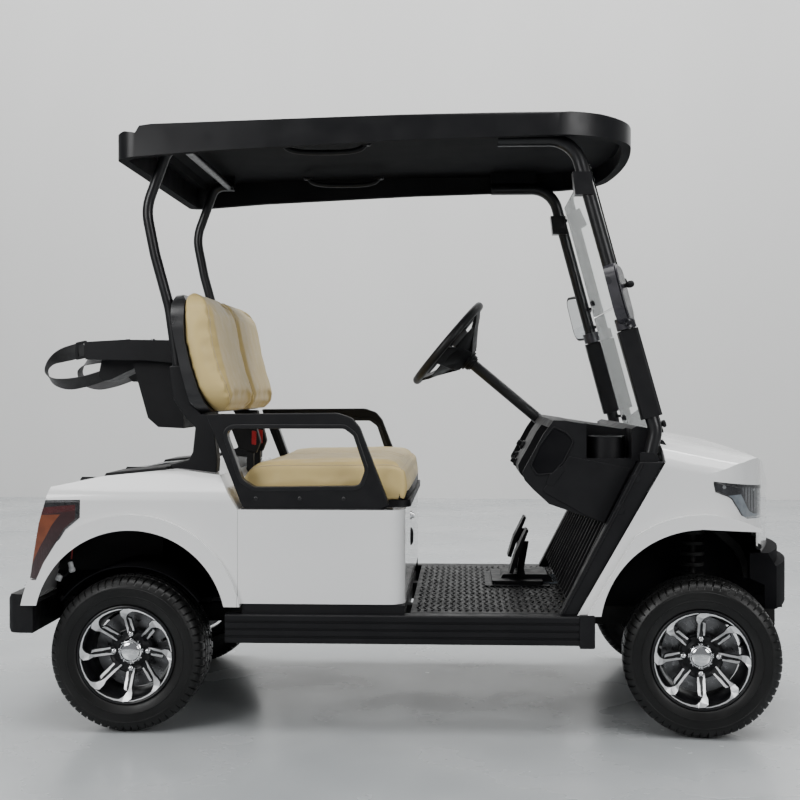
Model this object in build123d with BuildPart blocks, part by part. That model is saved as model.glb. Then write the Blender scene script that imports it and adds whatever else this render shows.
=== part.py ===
from build123d import *
import os
from math import atan2, cos, degrees, hypot, radians, sin, tan

os.makedirs("parts", exist_ok=True)

# Two-seat golf cart with a roof, a folding windshield and a rear bag carrier.
# All sizes are in millimetres. +X is forward, +Y is the driver's side, +Z is up, and Z = 0 is the ground.
# Rear pieces are drawn from the rear axle line and front pieces from the front axle line.

# ---- overall layout ----
WHEELBASE = 1666
REAR_OVERHANG = 365
FRONT_OVERHANG = 330
BODY_HALF = 580
FLARE = 16
FLOOR_TOP = 345
DECK_TOP = 645
BODY_WALL = 4
PANEL_GAP = 1.0
SEAT = 0.3

# ---- wheels ----
TYRE_R = 225
TYRE_W = 205
TYRE_MID = 502.5
TREAD_HALF = 84
BEAD_R = 128
CARCASS = 13
RIM_LIP_R = 143
RIM_LIP_Z = 93
BARREL_R = 122
BARREL_WALL = 4
HUB_FACE = 19
HUB_THICK = 13
HUB_R = 66
SPOKES = 8
LUG_CIRCLE = 101.6
LUG_COUNT = 4
LUG_R = 9
LUG_HIGH = 17
CAP_R = 38
CAP_HIGH = 26
DISC_R = 111
DISC_THICK = 8
DISC_HAT_R = 54
SPINDLE_R = 15

# ---- steering ----
KINGPIN_Y = 445
KINGPIN_R = 9
REST_STEER = -6
ARM_LENGTH = 85
ARM_Z = TYRE_R - 20
EYE_R = 20
EYE_HIGH = 48
WHEEL_X = -746
WHEEL_Y = 280
WHEEL_Z = 1155
WHEEL_RAKE = 40
WHEEL_GRIP_R = 168
GRIP_THICK_R = 13.5
COLUMN_R = 19
COLUMN_LENGTH = 470

# ---- running gear ----
RAIL_Y = 240
RAIL_WIDE = 50
RAIL_HIGH = 55
FLOOR_THICK = 20
TUBE_WALL = 4
AXLE_TUBE_R = 34
SPRING_Y = 330
SPRING_WIDE = 50
SPRING_THICK = 22
STRUT_Y = 325

# ---- roof and posts ----
ROOF_LOW = 1716
ROOF_THICK = 62
ROOF_HALF = 570
ROOF_WALL = 5
REAR_POST_Y = 390
REAR_POST_R = 16
FRONT_POST_Y = 530
FRONT_POST_R = 20
SLEEVE_HALF = 30
GLASS_THICK = 5
GLASS_HALF = 485

# ---- seats ----
ARMREST_WIDE = 38
ARMREST_Y = BODY_HALF - 40
ARMREST_GAP = 41
SEAT_HALF = ARMREST_Y - ARMREST_WIDE / 2 - ARMREST_GAP
SEAT_REAR = 318
SEAT_FRONT = 822
SEAT_BASE_THICK = 21
CUSHION_TOP = 806

CUSHION_LOW = DECK_TOP + SEAT + SEAT_BASE_THICK + SEAT
LENGTH = REAR_OVERHANG + WHEELBASE + FRONT_OVERHANG
REAR_X = REAR_OVERHANG - LENGTH / 2
FRONT_X = REAR_X + WHEELBASE
RAIL_TOP = FLOOR_TOP - FLOOR_THICK
RAIL_LOW = RAIL_TOP - RAIL_HIGH
SIDES = (("left", 1), ("right", -1))


def side(x, y=0):
    """Plane seen from the cart's right: local x forward, local y up, normal to the right."""
    return Plane(origin=(x, y, 0), x_dir=(1, 0, 0), z_dir=(0, -1, 0))


def plan(x, z):
    """Level plane at height z, with its origin at station x."""
    return Plane(origin=(x, 0, z), x_dir=(1, 0, 0), z_dir=(0, 0, 1))


def front(x, y=0):
    """Cross plane: local x to the left, local y up, normal forward."""
    return Plane(origin=(x, y, 0), x_dir=(0, 1, 0), z_dir=(1, 0, 0))


def tube_run(points, radii, radius, wall):
    """Round tube bent along straight runs joined by arcs."""
    with BuildPart() as tube:
        with BuildLine() as path:
            FilletPolyline(*points, radius=radii)
        with BuildSketch(path.line ^ 0):
            Circle(radius)
            Circle(radius - wall, mode=Mode.SUBTRACT)
        sweep(path=path.line)
    return tube.part


def box_tube(centre, size, wall, along):
    """Square tube with open ends: along names the axis that it runs on."""
    hollow = [s if i == along else s - 2 * wall for i, s in enumerate(size)]
    outer = Box(*size, mode=Mode.PRIVATE)
    return Pos(*centre) * (outer - Box(*hollow, mode=Mode.PRIVATE))


# ---- wheels ----
def wheel_place(x, sign, steer):
    """Place of a wheel drawn about local Z, whose +Z faces out of the cart."""
    turn = Rot(0, 0, steer)
    outward = Rot(90, 0, 0) if sign < 0 else Rot(0, 0, 180) * Rot(90, 0, 0)
    pivot = Pos(x, sign * KINGPIN_Y, TYRE_R)
    return pivot * turn * Pos(0, sign * (TYRE_MID - KINGPIN_Y), 0) * outward


CORNERS = (
    ("front_left", FRONT_X, 1, REST_STEER),
    ("front_right", FRONT_X, -1, REST_STEER),
    ("rear_left", REAR_X, 1, 0),
    ("rear_right", REAR_X, -1, 0),
)


def tyre_form():
    """Ring with a flat tread, rounded shoulders, bulged walls and beads on the rim."""
    half = TYRE_W / 2
    with BuildPart() as tyre:
        with BuildSketch(Plane.XZ):
            with BuildLine():
                outer = Polyline(
                    (TYRE_R, 0),
                    (TYRE_R, TREAD_HALF - 12),
                    (TYRE_R - 4, TREAD_HALF),
                    (TYRE_R - 16, half - 8),
                    (TYRE_R - 45, half),
                    (TYRE_R - 68, half - 3),
                    (RIM_LIP_R + 4, RIM_LIP_Z + 1),
                    (RIM_LIP_R + 1.5, RIM_LIP_Z - 6.5),
                    (BEAD_R, RIM_LIP_Z - 9),
                    (BEAD_R, RIM_LIP_Z - 22),
                    (BEAD_R + 16, RIM_LIP_Z - 24),
                    (TYRE_R - 45, half - CARCASS),
                    (TYRE_R - CARCASS - 8, TREAD_HALF - 8),
                    (TYRE_R - CARCASS - 2, 0),
                )
                mirror(outer, about=Plane.XZ)
            make_face()
        revolve(axis=Axis.Z)
    return tyre.part


def rim_form():
    """Cast wheel: dropped barrel, hub plate and swirled two-blade spokes that run out along the lip."""
    with BuildPart() as rim:
        with BuildSketch(Plane.XZ):
            with BuildLine():
                Polyline(
                    (BARREL_R - BARREL_WALL, -RIM_LIP_Z),
                    (RIM_LIP_R, -RIM_LIP_Z),
                    (RIM_LIP_R, -RIM_LIP_Z + 5),
                    (BEAD_R - SEAT, -RIM_LIP_Z + 8),
                    (BEAD_R - SEAT, -RIM_LIP_Z + 26),
                    (BARREL_R, -RIM_LIP_Z + 36),
                    (BARREL_R, RIM_LIP_Z - 36),
                    (BEAD_R - SEAT, RIM_LIP_Z - 26),
                    (BEAD_R - SEAT, RIM_LIP_Z - 8),
                    (RIM_LIP_R, RIM_LIP_Z - 5),
                    (RIM_LIP_R, RIM_LIP_Z),
                    (RIM_LIP_R - 5, RIM_LIP_Z + 2),
                    (RIM_LIP_R - 11, RIM_LIP_Z - 2),
                    (BEAD_R - SEAT - BARREL_WALL, RIM_LIP_Z - 7),
                    (BEAD_R - SEAT - BARREL_WALL, RIM_LIP_Z - 27),
                    (BARREL_R - BARREL_WALL, RIM_LIP_Z - 37),
                    close=True,
                )
            make_face()
        revolve(axis=Axis.Z)
        with BuildSketch(Plane.XY.offset(HUB_FACE - HUB_THICK)):
            Circle(HUB_R)
            Circle(SPINDLE_R + 6, mode=Mode.SUBTRACT)
            with PolarLocations(LUG_CIRCLE / 2, LUG_COUNT):
                Circle(LUG_R - 2, mode=Mode.SUBTRACT)
        extrude(amount=HUB_THICK)
    with BuildPart() as blades:
        with BuildSketch():
            with PolarLocations(0, SPOKES):
                Polygon(
                    (45, 13), (100, 13), (112, 18), (125, 17), (134.3, 7), (134.5, -12), (130.4, -35),
                    (122.4, -57), (110.6, -77.4), (101.9, -88.6), (99.6, -86.6), (112.6, -65), (122.2, -39.7),
                    (124.7, -26.5), (122.1, -21.5), (119.1, -14.6), (115, -6), (106, 1), (96, 5), (45, 5),
                    align=None,
                )
                Polygon((45, -4.5), (100, -4.5), (100, 0.5), (45, 0.5), align=None)
        extrude(amount=RIM_LIP_Z)
    with BuildPart() as dish:
        with BuildSketch(Plane.XZ):
            with BuildLine():
                Polyline(
                    (HUB_R - 5, HUB_FACE - HUB_THICK),
                    (96, RIM_LIP_Z - 48),
                    (BARREL_R + 1, RIM_LIP_Z - 25),
                    (BEAD_R - 1.5, RIM_LIP_Z - 17),
                    (BEAD_R - 1.5, RIM_LIP_Z - 6),
                    (RIM_LIP_R - 7, RIM_LIP_Z - 4),
                    (RIM_LIP_R - 7, RIM_LIP_Z + 1.5),
                    (BARREL_R + 2, RIM_LIP_Z - 2),
                    (96, RIM_LIP_Z - 28),
                    (HUB_R - 5, HUB_FACE + 4),
                    close=True,
                )
            make_face()
        revolve(axis=Axis.Z)
    return rim.part + (blades.part & dish.part)


def cap_form():
    """Bright centre cap with a domed face and the lug nuts round it."""
    with BuildPart() as cap:
        with BuildSketch(Plane.XZ):
            with BuildLine():
                Polyline(
                    (0, HUB_FACE), (CAP_R, HUB_FACE), (CAP_R, HUB_FACE + 14),
                    (CAP_R - 7, HUB_FACE + 20), (CAP_R - 9, HUB_FACE + CAP_HIGH), (0, HUB_FACE + CAP_HIGH + 2),
                    close=True,
                )
            make_face()
        revolve(axis=Axis.Z)
        with BuildSketch(Plane.XY.offset(HUB_FACE)):
            with PolarLocations(LUG_CIRCLE / 2, LUG_COUNT):
                RegularPolygon(LUG_R, 6)
        extrude(amount=LUG_HIGH)
    return cap.part


def disc_form():
    """Brake disc with its hat, bored for the spindle, seated on the back of the wheel's hub plate."""
    back = HUB_FACE - HUB_THICK - SEAT
    with BuildPart() as disc:
        with BuildSketch(Plane.XY.offset(back)):
            Circle(DISC_HAT_R)
            Circle(SPINDLE_R + SEAT, mode=Mode.SUBTRACT)
        extrude(amount=-22)
        with BuildSketch(Plane.XY.offset(back - 22 + DISC_THICK)):
            Circle(DISC_R)
            Circle(DISC_HAT_R - 1, mode=Mode.SUBTRACT)
        extrude(amount=-DISC_THICK)
    return disc.part


tyre_blank = tyre_form()
rim_blank = rim_form()
cap_blank = cap_form()
disc_blank = disc_form()

for corner, corner_x, sign, steer in CORNERS:
    place = wheel_place(corner_x, sign, steer)
    for kind, blank in (("tyre", tyre_blank), ("rim", rim_blank), ("hub_cap", cap_blank), ("disc", disc_blank)):
        with BuildPart() as piece:
            with Locations(place):
                add(blank)
        piece.part.label = f"{kind}_{corner}"
        export_step(piece.part, f"parts/{kind}_{corner}.step")


# ---- running gear ----
def rail_span(low, high):
    """Middle and length of a run between two stations measured from the rear axle."""
    return REAR_X + (low + high) / 2, high - low


RAIL_REAR = -282
RAIL_FRONT = WHEELBASE + 262
CROSS_STATIONS = (-200, 345, 780, WHEELBASE - 385, WHEELBASE + 170)
CROSS_WIDE = 40
SEAT_FRAME_STATIONS = (345, 780)
PAN_TOP = DECK_TOP - BODY_WALL
TOWER_X = WHEELBASE
TOWER_TOP = 640
with BuildPart() as chassis_frame:
    mid, long = rail_span(RAIL_REAR, RAIL_FRONT)
    rail_z = RAIL_TOP - RAIL_HIGH / 2
    for _, sign in SIDES:
        add(box_tube((mid, sign * RAIL_Y, rail_z), (long, RAIL_WIDE, RAIL_HIGH), TUBE_WALL, 0))
    # cross members sit between and outside the rails, out to the rockers
    for station in CROSS_STATIONS:
        reach = 538 if 300 < station < WHEELBASE - 300 else 360
        if station > WHEELBASE:
            reach = RAIL_Y
        inner = 2 * RAIL_Y - RAIL_WIDE
        add(box_tube((REAR_X + station, 0, RAIL_TOP - 20), (CROSS_WIDE, inner, 40), TUBE_WALL, 1))
        if reach > RAIL_Y:
            stub = reach - RAIL_Y - RAIL_WIDE / 2
            for _, sign in SIDES:
                y = sign * (reach - stub / 2)
                add(box_tube((REAR_X + station, y, RAIL_TOP - 20), (CROSS_WIDE, stub, 40), TUBE_WALL, 1))
chassis_frame.part.label = "chassis_frame"
export_step(chassis_frame.part, "parts/chassis_frame.step")

# uprights that stand on the frame, each pair joined by a bar across its head
# (station from the rear axle, y of the legs, tube size, height of the bar's middle, bar height, bar length)
UPRIGHTS = (
    (95, RAIL_Y, 40, 705, 30, 2 * SEAT_HALF),
    (SEAT_FRAME_STATIONS[0], SEAT_HALF - 40, 30, PAN_TOP - 15, 30, 2 * SEAT_HALF - 50),
    (SEAT_FRAME_STATIONS[1], SEAT_HALF - 40, 30, PAN_TOP - 15, 30, 2 * SEAT_HALF - 50),
    (TOWER_X, RAIL_Y, 40, TOWER_TOP + 20, 40, 2 * STRUT_Y + 60),
)
with BuildPart() as frame_uprights:
    for station, leg_y, tube, bar_z, bar_high, bar_long in UPRIGHTS:
        foot = RAIL_TOP + SEAT
        high = bar_z - bar_high / 2 - foot
        for _, sign in SIDES:
            add(box_tube((REAR_X + station, sign * leg_y, foot + high / 2), (tube, tube, high), 3, 2))
        add(box_tube((REAR_X + station, 0, bar_z), (tube, bar_long, bar_high), 3, 1))
frame_uprights.part.label = "frame_uprights"
export_step(frame_uprights.part, "parts/frame_uprights.step")

with BuildPart() as battery_pack:
    with BuildSketch(plan(REAR_X + 568, RAIL_TOP)):
        RectangleRounded(400, 620, 15)
    extrude(amount=255)
    fillet(battery_pack.faces().sort_by(Axis.Z)[-1].edges(), 8)
battery_pack.part.label = "battery_pack"
export_step(battery_pack.part, "parts/battery_pack.step")

# rear transaxle: tube, differential, electric motor and flanges that stop short of the discs
FLANGE_END = TYRE_MID + HUB_FACE - HUB_THICK - SEAT - 22 - SEAT
with BuildPart() as rear_axle:
    with BuildSketch(side(REAR_X, FLANGE_END - 10)):
        with Locations((0, TYRE_R)):
            Circle(AXLE_TUBE_R)
    extrude(amount=2 * (FLANGE_END - 10))
    for _, sign in SIDES:
        with BuildSketch(side(REAR_X, sign * (FLANGE_END - 5) + 5)):
            with Locations((0, TYRE_R)):
                Circle(50)
        extrude(amount=10)
        with BuildSketch(side(REAR_X, sign * (TYRE_MID - 4) + 22)):
            with Locations((0, TYRE_R)):
                Circle(SPINDLE_R)
        extrude(amount=44)
    with BuildSketch(side(REAR_X, 60)):
        with Locations((0, TYRE_R)):
            Circle(85)
        with Locations((-95, TYRE_R - 5)):
            Circle(60)
        with Locations((-50, TYRE_R)):
            Rectangle(110, 90)
    extrude(amount=110)
    with BuildSketch(side(REAR_X, 196)):
        with Locations((-128, TYRE_R - 5)):
            Circle(78)
    extrude(amount=196 - 60)
rear_axle.part.label = "rear_axle"
export_step(rear_axle.part, "parts/rear_axle.step")

# leaf springs below the rear axle, hung from the outer cross members
SPRING_EYE_Z = RAIL_LOW + 4
SPRING_DIP = TYRE_R - AXLE_TUBE_R - SPRING_THICK
with BuildPart() as leaf_springs:
    for _, sign in SIDES:
        with BuildSketch(side(REAR_X, sign * SPRING_Y + SPRING_WIDE / 2)):
            Polygon(
                (-215, SPRING_EYE_Z), (-190, SPRING_EYE_Z - 14), (-60, SPRING_DIP), (60, SPRING_DIP),
                (335, SPRING_EYE_Z - 14), (360, SPRING_EYE_Z), (345, RAIL_LOW + 15 - SEAT), (330, SPRING_EYE_Z),
                (60, SPRING_DIP + SPRING_THICK), (-60, SPRING_DIP + SPRING_THICK), (-185, SPRING_EYE_Z),
                (-200, RAIL_LOW + 15 - SEAT), align=None,
            )
        extrude(amount=SPRING_WIDE)
leaf_springs.part.label = "leaf_springs"
export_step(leaf_springs.part, "parts/leaf_springs.step")

# ---- rear body: one hollow moulding over the rear wheels with the seat pod in front ----
REAR_ARCH_R = 280
REAR_ARCH_Z = 305
REAR_ARCH_X = 11
BAG_WELL_HALF = 285
BAG_WELL_X = 40
BAG_WELL_LOW = 430
POD_FRONT = 806
POD_LOW = 374
BODY_LOW = 366
DECK_Z = 744


def rear_form(inset):
    """Closed form of the rear body, drawn in from its outer skin by inset."""
    half = BODY_HALF - inset
    with BuildPart() as form:
        with BuildSketch(side(REAR_X, half)) as profile:
            with BuildLine():
                Polyline(
                    (-316, BODY_LOW), (-291, 453), (-262, 600), (-228, 708), (-79, 738), (126, 758), (262, 742),
                    (322, DECK_TOP), (POD_FRONT, DECK_TOP), (POD_FRONT, POD_LOW), (330, POD_LOW), (300, BODY_LOW),
                    close=True,
                )
            make_face()
            if inset:
                offset(amount=-inset, kind=Kind.INTERSECTION)
        extrude(amount=2 * half)
        with BuildSketch(plan(REAR_X, 0)) as outline:
            with Locations(((POD_FRONT - 330) / 2, 0)):
                Rectangle(POD_FRONT + 330 - 2 * inset, 2 * half)
            corners = outline.vertices().group_by(Axis.X)
            fillet(corners[0], 110 - inset)
            fillet(outline.vertices().group_by(Axis.X)[-1], 50 - inset)
        extrude(amount=900, mode=Mode.INTERSECT)
        with BuildSketch(front(REAR_X - 400)) as section:
            with BuildLine():
                Polyline((-half, 300), (-half, 690 - inset), (-half + 70, 758 - inset), (half - 70, 758 - inset),
                         (half, 690 - inset), (half, 300), close=True)
            make_face()
            fillet(section.vertices().group_by(Axis.Y)[1], 60)
            fillet(section.vertices().group_by(Axis.Y)[-1], 60)
        extrude(amount=1400, mode=Mode.INTERSECT)
    return form.part


LAMP_DEEP = 14


def tail_lamp_prism(sign, gap):
    """Block with the tail lamp's side outline, drawn in by gap, across the rear corner."""
    with BuildPart() as prism:
        with BuildSketch(side(REAR_X, sign * 530 + 70)):
            Polygon((-400, 668), (-137, 672), (-138, 620), (-180, 585), (-240, 490), (-262, 440), (-400, 440), align=None)
            if gap:
                offset(amount=-gap, kind=Kind.INTERSECTION)
        extrude(amount=140)
    return prism.part


tail_lamp_pockets = [tail_lamp_prism(sign, 0) for _, sign in SIDES]
rear_skin = rear_form(0)
rear_core = rear_form(BODY_WALL)
with BuildPart() as body_shell:
    add(rear_skin)
    # flared lip round each wheel arch
    with BuildSketch(side(REAR_X, BODY_HALF + FLARE)) as flare:
        with Locations((REAR_ARCH_X, REAR_ARCH_Z)):
            Circle(REAR_ARCH_R + 45)
        with BuildLine():
            Polyline((-312, BODY_LOW), (-330, 800), (400, 800), (400, BODY_LOW), close=True)
        make_face(mode=Mode.INTERSECT)
    extrude(amount=2 * (BODY_HALF + FLARE), taper=0)
    add(rear_core, mode=Mode.SUBTRACT)
    with BuildSketch(side(REAR_X, BODY_HALF + FLARE - BODY_WALL)) as hollow_flare:
        with Locations((REAR_ARCH_X, REAR_ARCH_Z)):
            Circle(REAR_ARCH_R + 45 - BODY_WALL)
        with BuildLine():
            Polyline((-306, 300), (-324, 800), (400, 800), (400, 300), close=True)
        make_face(mode=Mode.INTERSECT)
    extrude(amount=2 * (BODY_HALF + FLARE - BODY_WALL), mode=Mode.SUBTRACT)
    # wheel arches, cut through both sides
    with BuildSketch(side(REAR_X, BODY_HALF + FLARE + 5)):
        with Locations((REAR_ARCH_X, REAR_ARCH_Z)):
            Circle(REAR_ARCH_R)
        with Locations((0, 150)):
            Rectangle(1200, 300)
    extrude(amount=2 * (BODY_HALF + FLARE + 5), mode=Mode.SUBTRACT)
    # open underneath, between the bumper and the front of the pod
    with BuildSketch(plan(REAR_X, 300)):
        with Locations((260, 0)):
            Rectangle(1080, 2 * (BODY_HALF - 30))
    extrude(amount=100, mode=Mode.SUBTRACT)
    # bag well between the fenders, open to the rear and above
    with BuildSketch(plan(REAR_X, BAG_WELL_LOW)):
        with Locations((BAG_WELL_X - 300, 0)):
            Rectangle(600, 2 * BAG_WELL_HALF)
    extrude(amount=500, mode=Mode.SUBTRACT)
    # battery opening in the top of the seat pod
    with BuildSketch(plan(REAR_X, DECK_TOP - 40)):
        with Locations(((SEAT_FRAME_STATIONS[0] + SEAT_FRAME_STATIONS[1]) / 2, 0)):
            Rectangle(SEAT_FRAME_STATIONS[1] - SEAT_FRAME_STATIONS[0] - 60, 2 * (SEAT_HALF - 60))
    extrude(amount=80, mode=Mode.SUBTRACT)
    # tail lamp pockets
    for pocket in tail_lamp_pockets:
        add(pocket, mode=Mode.SUBTRACT)

# the shell is two mouldings with a seam at the foot of the rear slope
POD_SEAM = 323
SEAM_GAP = 0.8
with BuildPart() as rear_body:
    add(body_shell.part)
    with BuildSketch(plan(REAR_X, 0)):
        with Locations((POD_SEAM - SEAM_GAP + 400, 0)):
            Rectangle(800, 3 * BODY_HALF)
    extrude(amount=900, mode=Mode.SUBTRACT)
rear_body.part.label = "rear_body"
export_step(rear_body.part, "parts/rear_body.step")

with BuildPart() as seat_pod:
    add(body_shell.part)
    with BuildSketch(plan(REAR_X, 0)):
        with Locations((POD_SEAM - 500, 0)):
            Rectangle(1000, 3 * BODY_HALF)
    extrude(amount=900, mode=Mode.SUBTRACT)
seat_pod.part.label = "seat_pod"
export_step(seat_pod.part, "parts/seat_pod.step")

# ---- front cowl: one hollow moulding from the post feet over the front wheels to the nose ----
FRONT_ARCH_R = 293
FRONT_ARCH_Z = 302
FRONT_ARCH_X = -11
COWL_LOW = 347
COWL_CORNER_Z = 587
COWL_NOSE_HALF = 440
COWL_MOUTH_HALF = 508
BUMPER_HALF = 385
BUMPER_SAG = 91
BUMPER_LOW = 340
BUMPER_TOP = 506
BUMPER_WALL = 6
HOOD_SLOPE = 0.195


def cowl_form(inset):
    """Closed form of the front cowl, drawn in from its outer skin by inset."""
    half = BODY_HALF - inset
    with BuildPart() as form:
        with BuildSketch(side(FRONT_X, half)):
            Polygon(
                (-367, COWL_LOW), (-117, 785), (-128, 866), (-94, 863), (27, 844), (121, 814), (205, 776),
                (248, 720), (268, 695), (278, 650), (284, 580), (284, COWL_LOW), align=None,
            )
            if inset:
                offset(amount=-inset, kind=Kind.INTERSECTION)
        extrude(amount=2 * half)
        with BuildSketch(plan(FRONT_X, 0)) as outline:
            Polygon(
                (-420, -BODY_HALF), (76, -BODY_HALF), (178, -435), (303, 0), (178, 435), (76, BODY_HALF),
                (-420, BODY_HALF), align=None,
            )
            bends = outline.vertices().group_by(Axis.X)
            fillet(bends[1], 150)
            fillet(outline.vertices().filter_by(lambda v: abs(abs(v.Y) - 435) < 1 and abs(v.X - 178) < 1), 250)
            fillet(outline.vertices().filter_by(lambda v: abs(v.Y) < 1), 600)
            if inset:
                offset(amount=-inset, kind=Kind.INTERSECTION)
        extrude(amount=1000, mode=Mode.INTERSECT)
        rise = HOOD_SLOPE * 300
        with BuildSketch(front(FRONT_X - 430)) as section:
            Polygon(
                (-half, 200), (-half, 790 + rise - inset), (-552, 822 + rise - inset), (-480, 845 + rise - inset),
                (-280, 878 + rise - inset), (280, 878 + rise - inset), (480, 845 + rise - inset),
                (552, 822 + rise - inset), (half, 790 + rise - inset), (half, 200), align=None,
            )
            fillet(section.vertices().filter_by(lambda v: 780 < v.Y - rise < 830), 50)
            fillet(section.vertices().filter_by(lambda v: 835 < v.Y - rise < 850), 150)
        extrude(amount=900, dir=(1, 0, -HOOD_SLOPE), mode=Mode.INTERSECT)
    return form.part


def headlight_prism(sign, gap):
    """Block with the headlight's side outline, drawn in by gap, across the front corner."""
    with BuildPart() as prism:
        with BuildSketch(side(FRONT_X, sign * 495 + 105)):
            Polygon(
                (18, 731), (166, 713), (400, 690), (400, 600), (126, 619), (106, 631), (69, 685), (24, 702), align=None,
            )
            if gap:
                offset(amount=-gap, kind=Kind.INTERSECTION)
        extrude(amount=210)
    return prism.part


headlight_pockets = [headlight_prism(sign, 0) for _, sign in SIDES]
cowl_skin = cowl_form(0)
cowl_core = cowl_form(BODY_WALL)
with BuildPart() as front_cowl:
    add(cowl_skin)
    # flared lip over the wheel arch, running on forward to the corner
    with BuildSketch(side(FRONT_X, BODY_HALF + FLARE)) as flare:
        with Locations((FRONT_ARCH_X, FRONT_ARCH_Z)):
            Circle(FRONT_ARCH_R + 42)
        Polygon((-340, COWL_LOW), (-95, 760), (150, 760), (150, COWL_LOW), align=None, mode=Mode.INTERSECT)
    extrude(amount=2 * (BODY_HALF + FLARE))
    add(cowl_core, mode=Mode.SUBTRACT)
    with BuildSketch(side(FRONT_X, BODY_HALF + FLARE - BODY_WALL)):
        with Locations((FRONT_ARCH_X, FRONT_ARCH_Z)):
            Circle(FRONT_ARCH_R + 42 - BODY_WALL)
        Polygon((-334, 300), (-95, 750), (146, 750), (146, 300), align=None, mode=Mode.INTERSECT)
    extrude(amount=2 * (BODY_HALF + FLARE - BODY_WALL), mode=Mode.SUBTRACT)
    # open rear, where the kick panel and the dash close it
    with BuildSketch(side(FRONT_X, BODY_HALF - BODY_WALL)):
        Polygon((-395, 320), (-340, 320), (-92, 783), (-170, 783), align=None)
    extrude(amount=2 * (BODY_HALF - BODY_WALL), mode=Mode.SUBTRACT)
    # the shoulders outside the dash stay closed
    with BuildSketch(side(FRONT_X, COWL_MOUTH_HALF)):
        Polygon((-92, 780), (-108, 846), (-170, 846), (-170, 780), align=None)
    extrude(amount=2 * COWL_MOUTH_HALF, mode=Mode.SUBTRACT)
    # wheel arches
    with BuildSketch(side(FRONT_X, BODY_HALF + FLARE + 5)):
        with Locations((FRONT_ARCH_X, FRONT_ARCH_Z)):
            Circle(FRONT_ARCH_R)
        with Locations((0, 300)):
            Rectangle(2 * FRONT_ARCH_R, 60)
    extrude(amount=2 * (BODY_HALF + FLARE + 5), mode=Mode.SUBTRACT)
    # corners cut up to the level of the arch, leaving the nose panel between them
    for _, sign in SIDES:
        with BuildSketch(side(FRONT_X, sign * (BODY_HALF + FLARE + 5 + COWL_NOSE_HALF) / 2 + 80)):
            Polygon((-20, 300), (-20, 596), (190, COWL_CORNER_Z), (320, COWL_CORNER_Z), (320, 300), align=None)
        extrude(amount=160, mode=Mode.SUBTRACT)
    # open underneath, behind the nose panel
    with BuildSketch(plan(FRONT_X, 300)):
        with Locations((-20, 0)):
            Rectangle(580, 2 * (BODY_HALF - 40))
    extrude(amount=160, mode=Mode.SUBTRACT)
    with BuildSketch(plan(FRONT_X, 300)):
        with Locations((200, 0)):
            Rectangle(220, 2 * BODY_HALF)
    extrude(amount=BUMPER_TOP + SEAT - 300, mode=Mode.SUBTRACT)
    for pocket in headlight_pockets:
        add(pocket, mode=Mode.SUBTRACT)
front_cowl.part.label = "front_cowl"
export_step(front_cowl.part, "parts/front_cowl.step")

# ---- inner panels that close the front wheel houses, standing on the rails ----
HOUSE_IN = RAIL_Y + 20 + SEAT
with BuildPart() as wheel_houses:
    for _, sign in SIDES:
        with BuildSketch(side(FRONT_X, sign * (HOUSE_IN + BODY_WALL / 2) + BODY_WALL / 2)):
            Polygon(
                (-305, RAIL_TOP + SEAT), (-305, 455), (-200, TOWER_TOP - 1), (190, TOWER_TOP - 1),
                (190, RAIL_TOP + SEAT), align=None,
            )
        extrude(amount=BODY_WALL)
wheel_houses.part.label = "wheel_houses"
export_step(wheel_houses.part, "parts/wheel_houses.step")

# ---- floor, kick panel and rockers ----
FLOOR_REAR = 330
KICK_FOOT = -368
KICK_HEAD = -118
KICK_TOP = 785
KICK_HALF = BODY_HALF - BODY_WALL - 8
ROCKER_IN = BODY_HALF - 40
ROCKER_OUT = BODY_HALF + 15
ROCKER_LOW = 262
ROCKER_REAR = 288
ROCKER_FRONT = -327
with BuildPart() as floor_pan:
    with BuildSketch(plan(REAR_X, RAIL_TOP)):
        floor_long = WHEELBASE + KICK_FOOT - 820
        with Locations((820 + floor_long / 2, 0)):
            Rectangle(floor_long, 2 * (ROCKER_IN - SEAT))
    extrude(amount=FLOOR_THICK)
floor_pan.part.label = "floor_pan"
export_step(floor_pan.part, "parts/floor_pan.step")

with BuildPart() as kick_panel:
    with BuildSketch(side(FRONT_X, KICK_HALF)):
        Polygon(
            (KICK_FOOT - 48, FLOOR_TOP), (KICK_FOOT - PANEL_GAP, FLOOR_TOP), (KICK_HEAD - PANEL_GAP, KICK_TOP),
            (KICK_HEAD - 72, KICK_TOP), align=None,
        )
    extrude(amount=2 * KICK_HALF)
    # the ribbed middle lies deeper than the two side strips
    with BuildSketch(side(FRONT_X, KICK_HALF - 44)):
        Polygon(
            (KICK_FOOT - 60, FLOOR_TOP - 1), (KICK_FOOT - 14, FLOOR_TOP - 1), (KICK_HEAD - 16, KICK_TOP + 1),
            (KICK_HEAD - 90, KICK_TOP + 1), align=None,
        )
    extrude(amount=2 * (KICK_HALF - 44), mode=Mode.SUBTRACT)
kick_panel.part.label = "kick_panel"
export_step(kick_panel.part, "parts/kick_panel.step")

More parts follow.
